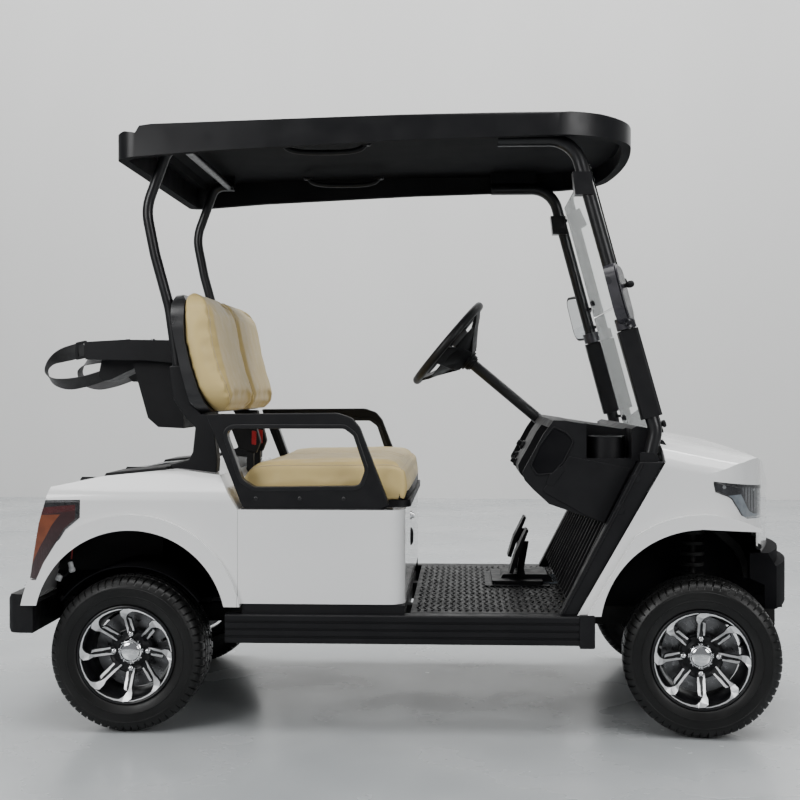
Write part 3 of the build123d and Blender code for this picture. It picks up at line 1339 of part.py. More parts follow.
# ---- bag well tray, bag carrier and straps ----
TRAY_WALL = 4
with BuildPart() as bag_tray:
    with BuildSketch(plan(REAR_X, BAG_WELL_LOW)):
        with Locations((BAG_WELL_X - 165 - SEAT, 0)):
            Rectangle(330, 2 * (BAG_WELL_HALF - SEAT))
    extrude(amount=290)
    with BuildSketch(plan(REAR_X, BAG_WELL_LOW + TRAY_WALL)):
        with Locations((BAG_WELL_X - 170 - TRAY_WALL, 0)):
            Rectangle(340, 2 * (BAG_WELL_HALF - TRAY_WALL))
    extrude(amount=400, mode=Mode.SUBTRACT)
    # the sides end a little inside the body's rear line
    with BuildSketch(side(REAR_X, BAG_WELL_HALF)):
        Polygon((-288, 420), (-286, 453), (-258, 600), (-224, 708), (-216, 720), (60, 720), (60, 420), align=None)
    extrude(amount=2 * BAG_WELL_HALF, mode=Mode.INTERSECT)
bag_tray.part.label = "bag_tray"
export_step(bag_tray.part, "parts/bag_tray.step")

MAT_THICK = 8
MAT_HALF = 500
with BuildPart() as deck_mat:
    with BuildSketch(side(REAR_X, MAT_HALF)):
        Polygon(
            (-88, deck_z(-88) + SEAT), (-79, deck_z(-79) + SEAT), (98, deck_z(98) + SEAT),
            (98, deck_z(98) + MAT_THICK), (-82, deck_z(-82) + MAT_THICK), align=None,
        )
    extrude(amount=2 * MAT_HALF)
    with BuildSketch(plan(REAR_X, 700)):
        with Locations((BAG_WELL_X - 200, 0)):
            Rectangle(400, 2 * (BAG_WELL_HALF + 5))
    extrude(amount=100, mode=Mode.SUBTRACT)
deck_mat.part.label = "deck_mat"
export_step(deck_mat.part, "parts/deck_mat.step")

CARRIER_HALF = 300
CARRIER_ARM_Y = 425
CARRIER_ARM_WIDE = 50
with BuildPart() as bag_carrier:
    # open-topped basket behind the seat back
    with BuildSketch(side(REAR_X, CARRIER_HALF)):
        Polygon((-54, 1084), (-4, 904), (28, 876), (108, 872), (106, 1084), align=None)
    extrude(amount=2 * CARRIER_HALF)
    with BuildSketch(side(REAR_X, CARRIER_HALF - 5)):
        Polygon((-50, 1100), (-49, 1084), (1, 908), (30, 881), (103, 877), (101, 1100), align=None)
    extrude(amount=2 * CARRIER_HALF - 10, mode=Mode.SUBTRACT)
    # side arms and the cross bar at their rear ends
    for _, sign in SIDES:
        with BuildSketch(side(REAR_X, sign * (CARRIER_HALF + 20) + 20)):
            Polygon((117 - SEAT, 1139), (-66, 1146), (-192, 1139), (-189, 1085), (3, 1082), (130.6, 1070), align=None)
        extrude(amount=40)
    with BuildSketch(side(REAR_X, CARRIER_HALF + 40)):
        Polygon((-150, 1141), (-192, 1139), (-189, 1085), (-150, 1084), align=None)
    extrude(amount=2 * CARRIER_HALF + 80)
    # rests for the bags, below the bar
    for _, sign in SIDES:
        with BuildSketch(side(REAR_X, sign * 190 + 70)):
            Polygon((-160, 1086), (-170, 1035), (-154, 1019), (-135, 1022), (-50, 1062), (-52, 1083), (-140, 1088), align=None)
        extrude(amount=140)
bag_carrier.part.label = "bag_carrier"
export_step(bag_carrier.part, "parts/bag_carrier.step")

STRAP_THICK = 3
STRAP_WIDE = 40
with BuildPart() as bag_straps:
    for _, sign in SIDES:
        with BuildSketch(side(REAR_X, sign * 190 + STRAP_WIDE / 2)):
            with BuildLine():
                loop = FilletPolyline(
                    (-193, 1127), (-262, 1108), (-286, 1052), (-262, 1006), (-210, 1000), (-172, 1030), radius=26,
                )
                offset(loop, amount=STRAP_THICK / 2, side=Side.BOTH)
            make_face()
        extrude(amount=STRAP_WIDE)
bag_straps.part.label = "bag_straps"
export_step(bag_straps.part, "parts/bag_straps.step")
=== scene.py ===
import math
from contextlib import contextmanager

import bmesh
import bpy
from mathutils import Matrix, Vector


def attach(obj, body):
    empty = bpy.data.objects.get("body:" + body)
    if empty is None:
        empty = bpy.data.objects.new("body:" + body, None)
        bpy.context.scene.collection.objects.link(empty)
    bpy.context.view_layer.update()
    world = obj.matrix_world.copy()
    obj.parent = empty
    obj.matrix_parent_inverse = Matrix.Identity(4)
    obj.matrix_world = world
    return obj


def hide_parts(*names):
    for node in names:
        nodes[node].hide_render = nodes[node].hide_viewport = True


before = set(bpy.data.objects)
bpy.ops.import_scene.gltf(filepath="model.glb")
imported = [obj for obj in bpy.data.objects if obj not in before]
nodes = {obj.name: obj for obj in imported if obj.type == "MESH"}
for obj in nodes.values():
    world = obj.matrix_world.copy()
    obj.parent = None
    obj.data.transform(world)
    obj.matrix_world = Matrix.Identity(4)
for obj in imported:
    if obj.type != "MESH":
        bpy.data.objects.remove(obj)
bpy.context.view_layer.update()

# All lengths are in metres, +X forward, +Y to the driver's side, +Z up.
REAR_X = -0.8155
FRONT_X = 0.8505
KINGPIN_Y = 0.445
HUB_Z = 0.225
TYRE_MID = 0.5025
REST_STEER = math.radians(-6)
SIDES = (("left", 1), ("right", -1))


# ---------------------------------------------------------------- materials
mats = {}


class Shade:
    """A Principled material with short calls for its procedural detail."""

    def __init__(self, name, color, rough, **values):
        mats[name] = bpy.data.materials.new(name)
        mats[name].use_nodes = True
        self.tree = mats[name].node_tree
        self.bsdf = self.tree.nodes["Principled BSDF"]
        self.set("Base Color", (*color, 1))
        self.set("Roughness", rough)
        for key, value in values.items():
            self.set(key.replace("_", " "), value)

    def set(self, socket, value):
        self.bsdf.inputs[socket].default_value = value

    def node(self, kind, **settings):
        made = self.tree.nodes.new(kind)
        for key, value in settings.items():
            if hasattr(made, key):
                setattr(made, key, value)
            else:
                made.inputs[key.replace("_", " ")].default_value = value
        return made

    def link(self, source, target):
        self.tree.links.new(self.noise(*source) if isinstance(source, tuple) else source, target)

    def place(self, stretch=(1, 1, 1)):
        coords = self.node("ShaderNodeTexCoord")
        mapping = self.node("ShaderNodeMapping")
        mapping.inputs["Scale"].default_value = stretch
        self.link(coords.outputs["Object"], mapping.inputs["Vector"])
        return mapping.outputs["Vector"]

    def noise(self, scale, detail=3.0, stretch=(1, 1, 1)):
        """Clouds of one size; tint, rough and bump also take these numbers in place of a source."""
        tex = self.node("ShaderNodeTexNoise", Scale=scale, Detail=detail)
        self.link(self.place(stretch), tex.inputs["Vector"])
        return tex.outputs["Fac"]

    def cells(self, scale, feature="DISTANCE_TO_EDGE", stretch=(1, 1, 1)):
        tex = self.node("ShaderNodeTexVoronoi", Scale=scale, feature=feature)
        self.link(self.place(stretch), tex.inputs["Vector"])
        return tex.outputs["Distance"]

    def rings(self, scale, axis="Z"):
        tex = self.node("ShaderNodeTexWave", wave_type="RINGS", rings_direction=axis, Scale=scale,
            Distortion=0.4)
        self.link(self.place(), tex.inputs["Vector"])
        return tex.outputs["Fac"]

    def bands(self, scale, axis="X"):
        tex = self.node("ShaderNodeTexWave", wave_type="BANDS", bands_direction=axis, Scale=scale,
            Distortion=0.6)
        self.link(self.place(), tex.inputs["Vector"])
        return tex.outputs["Fac"]

    def spread(self, source, low, high, start=0.3, end=0.7):
        span = self.node("ShaderNodeMapRange")
        for socket, value in (("From Min", start), ("From Max", end), ("To Min", low), ("To Max", high)):
            span.inputs[socket].default_value = value
        self.link(source, span.inputs["Value"])
        return span.outputs["Result"]

    def tint(self, source, dark, light, start=0.3, end=0.7):
        ramp = self.node("ShaderNodeValToRGB")
        first, last = ramp.color_ramp.elements
        first.position, first.color = start, (*dark, 1)
        last.position, last.color = end, (*light, 1)
        self.link(source, ramp.inputs["Fac"])
        self.link(ramp.outputs["Color"], self.bsdf.inputs["Base Color"])

    def rough(self, source, low, high, start=0.3, end=0.7):
        self.link(self.spread(source, low, high, start, end), self.bsdf.inputs["Roughness"])

    def bump(self, source, strength, distance, invert=False):
        made = self.node("ShaderNodeBump", Strength=strength, Distance=distance, invert=invert)
        self.link(source, made.inputs["Height"])
        normal = self.bsdf.inputs["Normal"]
        if normal.links:
            self.link(normal.links[0].from_socket, made.inputs["Normal"])
        self.link(made.outputs["Normal"], normal)


s = Shade("body_white", (0.78, 0.785, 0.78), 0.22, Coat_Weight=0.8, Coat_Roughness=0.04)
s.tint((1.6,), (0.74, 0.745, 0.745), (0.80, 0.80, 0.795))
s.rough((9,), 0.18, 0.27)
s.bump((420, 1), 0.015, 0.0004)

s = Shade("roof_black", (0.007, 0.007, 0.008), 0.4, Specular_IOR_Level=0.3)
s.tint((3,), (0.005, 0.005, 0.006), (0.009, 0.009, 0.010))
s.rough((14,), 0.28, 0.4)
s.bump((900, 2), 0.08, 0.0003)

s = Shade("trim_black", (0.007, 0.007, 0.008), 0.5, Specular_IOR_Level=0.2)
s.tint((7,), (0.006, 0.006, 0.007), (0.009, 0.009, 0.010))
s.rough((30,), 0.4, 0.58)
s.bump(s.cells(1100), 0.16, 0.0003)

s = Shade("frame_black", (0.008, 0.008, 0.009), 0.36, Specular_IOR_Level=0.3, Coat_Weight=0.2,
    Coat_Roughness=0.2)
s.tint((12,), (0.006, 0.006, 0.007), (0.010, 0.010, 0.011))
s.rough((40,), 0.3, 0.42)
s.bump((700, 2), 0.03, 0.0003)

s = Shade("chassis_black", (0.007, 0.007, 0.007), 0.55, Specular_IOR_Level=0.2)
s.tint((10, 6), (0.006, 0.006, 0.006), (0.016, 0.0155, 0.015))
s.rough((25,), 0.42, 0.68)
s.bump((300, 4), 0.08, 0.0006)

s = Shade("tyre_rubber", (0.005, 0.005, 0.005), 0.4, Specular_IOR_Level=0.28)
s.tint((9, 6), (0.004, 0.004, 0.004), (0.008, 0.008, 0.0078))
s.rough((16, 5), 0.3, 0.5)
s.bump((500, 4), 0.1, 0.0005)

s = Shade("alloy_black", (0.004, 0.004, 0.005), 0.38, Specular_IOR_Level=0.3, Coat_Weight=0.15,
    Coat_Roughness=0.2)
s.tint((25,), (0.003, 0.003, 0.004), (0.006, 0.006, 0.007))
s.rough((60,), 0.32, 0.45)

s = Shade("alloy_cut", (0.86, 0.865, 0.87), 0.34, Metallic=0.85)
s.tint((40, 4), (0.8, 0.805, 0.81), (0.9, 0.905, 0.91))
s.rough((90, 4), 0.3, 0.4)
s.bump(s.rings(1500), 0.03, 0.0001)

s = Shade("chrome", (0.82, 0.82, 0.83), 0.06, Metallic=1.0)
s.tint((30,), (0.78, 0.78, 0.79), (0.86, 0.86, 0.87))
s.rough((120, 4), 0.04, 0.12)

s = Shade("disc_steel", (0.22, 0.22, 0.225), 0.4, Metallic=1.0)
s.tint((35, 5), (0.17, 0.17, 0.175), (0.26, 0.26, 0.265))
s.rough((80, 4), 0.22, 0.42)
s.bump(s.rings(900), 0.06, 0.0002)

s = Shade("steel", (0.35, 0.35, 0.36), 0.35, Metallic=1.0)
s.tint((50, 5), (0.26, 0.26, 0.27), (0.42, 0.42, 0.43))
s.rough((90, 4), 0.25, 0.5)

s = Shade("cast_grey", (0.1, 0.1, 0.1), 0.6, Metallic=0.4)
s.tint((20, 6), (0.06, 0.06, 0.06), (0.13, 0.13, 0.128))
s.rough((60, 4), 0.5, 0.75)
s.bump((350, 5), 0.2, 0.0008)

s = Shade("leather", (0.58, 0.45, 0.20), 0.46, Specular_IOR_Level=0.3)
s.tint((5, 4), (0.55, 0.42, 0.175), (0.62, 0.475, 0.21))
s.rough((22, 3), 0.36, 0.5)
s.bump(s.cells(620), 0.12, 0.0005)
s.bump((140, 4), 0.05, 0.001)

s = Shade("thread", (0.55, 0.44, 0.28), 0.7)
s.tint((400,), (0.48, 0.38, 0.24), (0.62, 0.5, 0.33))
s.bump((1500,), 0.3, 0.0004)

s = Shade("house_black", (0.005, 0.005, 0.006), 0.75, Specular_IOR_Level=0.06)
s.tint((10,), (0.004, 0.004, 0.005), (0.008, 0.008, 0.009))
s.bump((240, 4), 0.2, 0.0008)

s = Shade("shell_black", (0.012, 0.012, 0.013), 0.32)
s.tint((6,), (0.009, 0.009, 0.010), (0.016, 0.016, 0.017))
s.rough((18,), 0.26, 0.4)
s.bump((800, 2), 0.06, 0.0003)

s = Shade("mirror_case", (0.02, 0.019, 0.024), 0.3)
s.tint((20,), (0.014, 0.014, 0.017), (0.03, 0.028, 0.035))
s.rough((40,), 0.24, 0.38)

s = Shade("cap_dark", (0.05, 0.05, 0.055), 0.25, Metallic=0.6)
s.tint((200,), (0.03, 0.03, 0.034), (0.07, 0.07, 0.075))
s.rough((90,), 0.2, 0.34)

s = Shade("glass", (0.93, 0.96, 0.955), 0.0, Transmission_Weight=1.0, IOR=1.3)
s.rough((8,), 0.0, 0.03)

s = Shade("lens_red", (0.10, 0.012, 0.014), 0.08, Coat_Weight=1.0, Coat_Roughness=0.03)
s.tint((18,), (0.04, 0.008, 0.009), (0.07, 0.014, 0.015))
s.bump(s.cells(160), 0.2, 0.002)

s = Shade("lens_amber", (0.2, 0.05, 0.018), 0.1, Coat_Weight=1.0, Coat_Roughness=0.03)
s.tint((30,), (0.13, 0.034, 0.014), (0.2, 0.054, 0.022))
s.bump(s.cells(220), 0.2, 0.001)

s = Shade("lens_smoke", (0.02, 0.021, 0.024), 0.06, Coat_Weight=1.0, Coat_Roughness=0.02)
s.tint((26,), (0.012, 0.012, 0.014), (0.04, 0.041, 0.045))
s.rough((80,), 0.04, 0.12)

s = Shade("lamp_gasket", (0.012, 0.012, 0.013), 0.3, Coat_Weight=0.5, Coat_Roughness=0.1)
s.tint((60,), (0.008, 0.008, 0.009), (0.018, 0.018, 0.02))
s.rough((90,), 0.22, 0.36)

s = Shade("lamp_grey", (0.2, 0.23, 0.26), 0.2, Coat_Weight=1.0, Coat_Roughness=0.03)
s.tint((40,), (0.12, 0.14, 0.16), (0.2, 0.225, 0.25))
s.rough((90,), 0.14, 0.26)

s = Shade("lamp_ribs", (0.03, 0.03, 0.034), 0.12, Coat_Weight=1.0, Coat_Roughness=0.02)
s.tint(s.bands(26), (0.008, 0.008, 0.010), (0.16, 0.165, 0.175), 0.6, 0.98)
s.rough((90,), 0.08, 0.2)

s = Shade("lens_dark_red", (0.05, 0.012, 0.014), 0.08, Coat_Weight=1.0, Coat_Roughness=0.03)
s.tint((18,), (0.022, 0.009, 0.010), (0.045, 0.016, 0.017))
s.bump(s.cells(160), 0.15, 0.001)

s = Shade("lamp_silver", (0.7, 0.71, 0.72), 0.15, Metallic=1.0)
s.tint((60,), (0.6, 0.61, 0.62), (0.8, 0.81, 0.82))
s.bump(s.cells(300), 0.2, 0.001)

s = Shade("mirror_glass", (0.86, 0.88, 0.89), 0.02, Metallic=1.0)
s.rough((40,), 0.01, 0.05)

s = Shade("mat_rubber", (0.008, 0.008, 0.009), 0.5, Specular_IOR_Level=0.2)
s.tint((8, 5), (0.006, 0.006, 0.007), (0.013, 0.013, 0.013))
s.rough((20,), 0.4, 0.6)
s.bump((600, 3), 0.1, 0.0004)

s = Shade("webbing", (0.012, 0.012, 0.013), 0.75, Sheen_Weight=0.3)
s.tint((60,), (0.008, 0.008, 0.009), (0.018, 0.018, 0.019))
s.bump(s.cells(900, stretch=(1, 1, 0.35)), 0.5, 0.0008)

s = Shade("grip", (0.009, 0.009, 0.010), 0.45, Specular_IOR_Level=0.35)
s.tint((20,), (0.008, 0.008, 0.009), (0.017, 0.017, 0.018))
s.rough((50,), 0.36, 0.55)
s.bump(s.cells(1300), 0.25, 0.0004)

s = Shade("battery_case", (0.03, 0.03, 0.032), 0.5)
s.tint((12,), (0.02, 0.02, 0.022), (0.04, 0.04, 0.042))
s.bump((400,), 0.1, 0.0005)

s = Shade("wire_red", (0.25, 0.02, 0.02), 0.45)
s.tint((90,), (0.2, 0.015, 0.015), (0.3, 0.03, 0.03))
s.rough((60,), 0.38, 0.52)

s = Shade("plug_white", (0.6, 0.61, 0.62), 0.4)
s.tint((90,), (0.52, 0.53, 0.54), (0.68, 0.69, 0.7))
s.rough((60,), 0.32, 0.48)

s = Shade("button_red", (0.3, 0.012, 0.014), 0.3)
s.tint((200,), (0.26, 0.01, 0.012), (0.34, 0.015, 0.018))
s.bump((900,), 0.05, 0.0002)

s = Shade("floor", (0.42, 0.44, 0.45), 0.35)
s.tint((1.2, 5), (0.36, 0.38, 0.39), (0.46, 0.475, 0.48))
s.rough((2.5, 5), 0.16, 0.34)
s.bump((30, 5), 0.02, 0.002)

s = Shade("backdrop", (0.6, 0.6, 0.59), 0.85)
s.tint((0.8, 4, (1, 1, 0.3)), (0.68, 0.68, 0.67), (0.72, 0.72, 0.71))


# ---------------------------------------------------------------- mesh helpers
def rear(x, y, z):
    """Point in metres from millimetres ahead of the rear axle."""
    return Vector((REAR_X + x / 1000, y / 1000, z / 1000))


def ahead(x, y, z):
    """Point in metres from millimetres ahead of the front axle."""
    return Vector((FRONT_X + x / 1000, y / 1000, z / 1000))


def linked(name, data):
    """New object in the scene."""
    obj = bpy.data.objects.new(name, data)
    bpy.context.scene.collection.objects.link(obj)
    return obj


@contextmanager
def edited(obj):
    """An object's mesh, open for bmesh work and written back at the end."""
    work = bmesh.new()
    work.from_mesh(obj.data)
    yield work
    work.to_mesh(obj.data)
    work.free()


def make(name, verts, faces, materials, indices=None):
    """Mesh object from vertices and faces, with a material number for each face if given."""
    mesh = bpy.data.meshes.new(name)
    mesh.from_pydata([tuple(v) for v in verts], [], faces)
    for material in materials:
        mesh.materials.append(mats[material])
    if indices:
        mesh.polygons.foreach_set("material_index", indices)
    return linked(name, mesh)


def outward(obj, merge=1e-6):
    """Joins doubled points and turns all faces of a closed mesh outward."""
    with edited(obj) as work:
        bmesh.ops.remove_doubles(work, verts=work.verts, dist=merge)
        bmesh.ops.recalc_face_normals(work, faces=work.faces)
    return obj


def shade(obj, angle=35):
    obj.data.shade_smooth()
    obj.data.set_sharp_from_angle(angle=math.radians(angle))
    return obj


def bevel(obj, width, segments=2, angle=30):
    made = obj.modifiers.new("round", "BEVEL")
    made.width = width
    made.segments = segments
    made.limit_method = "ANGLE"
    made.angle_limit = math.radians(angle)
    return obj


def even(obj):
    made = obj.modifiers.new("even", "WEIGHTED_NORMAL")
    made.keep_sharp = True
    return obj


def ride(obj, body="cart"):
    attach(obj, body)
    return obj


def rounded(points, radius, steps=5):
    """Closed outline with each corner turned into a curve; radius is a number or one for each corner."""
    out = []
    count = len(points)
    for i in range(count):
        r = radius[i] if isinstance(radius, (list, tuple)) else radius
        corner = Vector(points[i])
        back = Vector(points[i - 1]) - corner
        on = Vector(points[(i + 1) % count]) - corner
        if r <= 0:
            out.append(tuple(corner))
            continue
        half = back.angle(on) / 2
        cut = min(r / math.tan(half), back.length * 0.49, on.length * 0.49)
        start = corner + back.normalized() * cut
        end = corner + on.normalized() * cut
        for k in range(steps + 1):
            t = k / steps
            out.append(tuple(start * (1 - t) ** 2 + corner * 2 * t * (1 - t) + end * t ** 2))
    return out


def prism(name, verts, material, width, segments, body):
    """Straight prism, given its points at one end and then at the other, with rounded edges."""
    count = len(verts) // 2
    faces = [tuple(range(count)), tuple(range(2 * count - 1, count - 1, -1))]
    faces += [(i, (i + 1) % count, (i + 1) % count + count, i + count) for i in range(count)]
    obj = outward(make(name, verts, faces, [material]))
    if width:
        bevel(obj, width, segments)
    shade(obj)
    even(obj)
    return ride(obj, body)


def slab(name, outline, y0, y1, material, place=rear, width=0.0012, segments=2, body="cart"):
    """Side outline in millimetres, extruded from y0 to y1, with rounded edges."""
    verts = [place(x, y, z) for y in (y0, y1) for x, z in outline]
    return prism(name, verts, material, width, segments, body)


def lathe(name, profile, place, material, segments=64, marks=None, closed=True):
    """Profile of (radius, height) in millimetres turned about local Z; marks numbers the bands' materials."""
    count = len(profile)
    verts = []
    for i in range(segments):
        a = 2 * math.pi * i / segments
        verts += [place @ Vector((r * math.cos(a) / 1000, r * math.sin(a) / 1000, z / 1000)) for r,
            z in profile]
    faces, indices = [], []
    last = count if closed else count - 1
    for i in range(segments):
        j = (i + 1) % segments
        for k in range(last):
            m = (k + 1) % count
            faces.append((i * count + k, j * count + k, j * count + m, i * count + m))
            indices.append(marks[k] if marks else 0)
    materials = material if isinstance(material, (list, tuple)) else [material]
    return outward(make(name, verts, faces, materials, indices if marks else None))


def tube(name, points, radius, material, sides=12, body="cart", closed=False):
    """Round bar along a run of points in metres."""
    curve = bpy.data.curves.new(name, "CURVE")
    curve.dimensions = "3D"
    curve.bevel_depth = radius
    curve.bevel_resolution = sides // 4
    curve.use_fill_caps = True
    line = curve.splines.new("POLY")
    line.points.add(len(points) - 1)
    for point, co in zip(line.points, points):
        point.co = (*co, 1)
    line.use_cyclic_u = closed
    line.use_smooth = True
    temp = bpy.data.objects.new(name, curve)
    mesh = bpy.data.meshes.new_from_object(temp)
    bpy.data.objects.remove(temp)
    mesh.materials.clear()
    mesh.materials.append(mats[material])
    obj = linked(name, mesh)
    outward(obj)
    shade(obj, 50)
    return ride(obj, body)


def smooth_run(points, steps=8, closed=False):
    """Catmull-Rom curve through the points."""
    pts = [Vector(p) for p in points]
    count = len(pts)
    out = []
    for i in range(count if closed else count - 1):
        if closed:
            a, b, c, d = (pts[(i + k) % count] for k in (-1, 0, 1, 2))
        else:
            a, b, c, d = pts[max(i - 1, 0)], pts[i], pts[i + 1], pts[min(i + 2, count - 1)]
        for k in range(steps):
            t = k / steps
            square = (2 * a - 5 * b + 4 * c - d) * t * t
            out.append(0.5 * ((2 * b) + (c - a) * t + square + (3 * b - a - 3 * c + d) * t ** 3))
    if not closed:
        out.append(pts[-1])
    return out


def plain_normals(obj):
    if obj.data.has_custom_normals:
        with bpy.context.temp_override(object=obj, active_object=obj):
            bpy.ops.mesh.customdata_custom_splitnormals_clear()


def dress(node, material, width=0.0, segments=2, angle=30):
    """Gives a frame node its material, smooth shading and, where asked, rounded edges."""
    obj = nodes[node]
    obj.data.materials.clear()
    obj.data.materials.append(mats[material])
    plain_normals(obj)
    weld = obj.modifiers.new("weld", "WELD")
    weld.merge_threshold = 1e-5
    obj.data.shade_smooth()
    if width:
        bevel(obj, width, segments, angle)
        even(obj)
    else:
        split = obj.modifiers.new("edges", "EDGE_SPLIT")
        split.split_angle = math.radians(angle)
        split.use_edge_sharp = False
    return obj


def copied(node, name):
    """New mesh object with a node's shape."""
    obj = linked(name, nodes[node].data.copy())
    obj.data.materials.clear()
    plain_normals(obj)
    return outward(obj, 1e-5)


# ---------------------------------------------------------------- frame nodes
DRESS = (
    ("chassis_frame", "chassis_black", 0.002), ("frame_uprights", "chassis_black", 0.002),
    ("battery_pack", "battery_case", 0.006), ("rear_axle", "cast_grey", 0.0),
    ("leaf_springs", "chassis_black", 0.001),
    ("rear_body", "body_white", 0.0016), ("seat_pod", "body_white", 0.0016),
    ("front_cowl", "body_white", 0.0016),
    ("wheel_houses", "house_black", 0.001), ("floor_pan", "mat_rubber", 0.002),
    ("kick_panel", "trim_black", 0.003),
    ("rockers", "trim_black", 0.0012), ("front_bumper", "house_black", 0.004),
    ("rear_bumper", "trim_black", 0.004),
    ("dash", "trim_black", 0.003), ("steering_column", "frame_black", 0.0015),
    ("front_axle", "chassis_black", 0.001),
    ("knuckle_left", "cast_grey", 0.001), ("knuckle_right", "cast_grey", 0.001), ("tie_rod", "steel", 0.0),
    ("front_struts", "chassis_black", 0.001), ("pedals", "trim_black", 0.002), ("roof", "roof_black", 0.0),
    ("rear_roof_frame", "frame_black", 0.0), ("front_roof_frame", "frame_black", 0.0),
    ("post_sleeves", "trim_black", 0.0012), ("windshield", "glass", 0.0008),
    ("mirrors", "mirror_case", 0.005),
    ("seat_back_shell", "shell_black", 0.006), ("seat_base", "trim_black", 0.002),
    ("seat_supports", "trim_black", 0.004), ("belt_buckles", "trim_black", 0.003),
    ("bag_tray", "trim_black", 0.001),
    ("deck_mat", "mat_rubber", 0.0015), ("bag_carrier", "trim_black", 0.003),
)
for node, material, width in DRESS:
    dress(node, material, width)
# downward faces of the roof take the darker, duller house_black: painted shade for the underside, which sits
# in shadow
nodes["roof"].data.materials.append(mats["house_black"])
for face in nodes["roof"].data.polygons:
    face.material_index = 1 if face.normal.z < -0.2 else 0


# ---------------------------------------------------------------- wheels
def wheel_place(x, sign, steer):
    """Place of a wheel drawn about local Z, whose +Z faces out of the cart."""
    turn = Matrix.Rotation(steer, 4, "Z")
    out = Matrix.Rotation(math.pi / 2, 4, "X")
    if sign > 0:
        out = Matrix.Rotation(math.pi, 4, "Z") @ out
    pivot = Matrix.Translation((x, sign * KINGPIN_Y, HUB_Z))
    return pivot @ turn @ Matrix.Translation((0, sign * (TYRE_MID - KINGPIN_Y), 0)) @ out


PITCHES = 60
# (radius, height from the middle, depth of the cross grooves there), from the tread's middle to the bead
TREAD = (
    (225, 0, 0), (225, 6, 1.5), (225, 14, 1.5), (218, 15, 0), (218, 21, 0), (225, 22, 2.5), (225, 33, 4),
    (224.8, 44, 4),
    (218, 45, 0), (218, 51, 0), (224.6, 52, 4), (224, 62, 4.5), (222.8, 74, 5), (220.5, 83, 5),
    (216.5, 89, 4.6),
    (211, 94, 3.6), (205.5, 97.5, 1.8), (203, 98.6, 0), (200, 100.4, 0), (197, 101.6, 0), (195.5, 101.7, 0),
    (194.8, 102.4, 0), (192.6, 102.4, 0), (191.9, 101.9, 0), (186, 102.2, 0), (178, 102.0, 0),
    (172, 101.4, 0),
    (171.4, 102.2, 0), (168.6, 102.1, 0), (168, 101.0, 0), (162, 99.5, 0), (156, 97.6, 0), (151, 95.8, 0),
    (147.5, 94.2, 0), (144.6, 91, 0), (144.2, 87, 0), (129, 84, 0), (128.2, 72, 0), (143, 69.5, 0),
    (180, 88, 0), (205, 76, 0),
)
# angular columns of one pitch: (share of the pitch, whether it lies in the groove)
COLUMNS = ((0.0, 1), (0.16, 1), (0.2, 0), (0.56, 0), (0.96, 0))


def tyre(corner, place):
    rows = [(r, -z, cut) for r, z, cut in reversed(TREAD)] + list(TREAD[1:])
    total = len(rows)
    verts, faces = [], []
    for pitch in range(PITCHES):
        for share, low in COLUMNS:
            for r, z, cut in rows:
                # the cross grooves lean across the tread and step nearly half a pitch in the middle rows
                lean = z / 150 + (0.45 if abs(z) < 40 else 0.0)
                a = 2 * math.pi * (pitch + share + lean) / PITCHES
                rr = r - (cut if low else 0)
                verts.append(place @ Vector((rr * math.cos(a) / 1000, rr * math.sin(a) / 1000, z / 1000)))
    columns = PITCHES * len(COLUMNS)
    for i in range(columns):
        j = (i + 1) % columns
        for k in range(total):
            m = (k + 1) % total
            faces.append((i * total + k, j * total + k, j * total + m, i * total + m))
    obj = outward(make(f"tyre_tread_{corner}", verts, faces, ["tyre_rubber"]))
    shade(obj, 28)
    ride(obj, f"wheel_{corner}")
    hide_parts(f"tyre_{corner}")


DISH = ((48, 21), (99, 67), (112, 83), (126, 93), (136, 94.5))


def dish_height(r):
    for (r0, z0), (r1, z1) in zip(DISH, DISH[1:]):
        if r <= r1:
            return z0 + (z1 - z0) * (r - r0) / (r1 - r0)
    return DISH[-1][1]


ARM = (
    (48, 12.5), (99, 12.5), (111, 18), (125.5, 18), (134.6, 8), (135.4, -10), (131.4, -35), (123.2, -57.2),
    (111.4, -78),
    (102.4, -89), (99.4, -86.4), (108, -74.6), (118.2, -55), (124.8, -34), (126, -21), (123, -13),
    (118, -7), (110, -1),
    (105, -11), (97, -12.5), (48, -12.5),
)
BLADE = (
    (50, 11), (99.4, 11), (111.4, 16.4), (125, 16.4), (133.4, 7), (134.4, -10), (130.4, -34.5),
    (122.4, -56.5), (110.6, -77),
    (102, -87.6), (100.6, -86.2), (109, -74.2), (119.2, -55), (125.8, -34), (127, -20.5), (124, -12.5),
    (119, -5.6), (109, 1.2),
    (100, 4.2), (50, 4.2),
)
RIDGE = ((60, -3.5), (98, -3.5), (106, -1.5), (103.4, -9.6), (97, -11), (60, -11))
BARREL = (
    (143.6, 91.5), (142.4, 94), (139.6, 95), (137, 94), (135.6, 91), (134, 84), (125, 66), (120, 34),
    (118.5, -40), (126, -78),
    (138, -90), (143, -93), (144, -88), (131, -74), (123.5, -38), (124, 30), (129, 60), (137, 80),
    (143.6, 86),
)
HUB = ((0, 20.5), (54, 20.5), (57, 22), (62, 27), (65, 26), (66, 18), (64, 4), (54, -6), (0, -6))


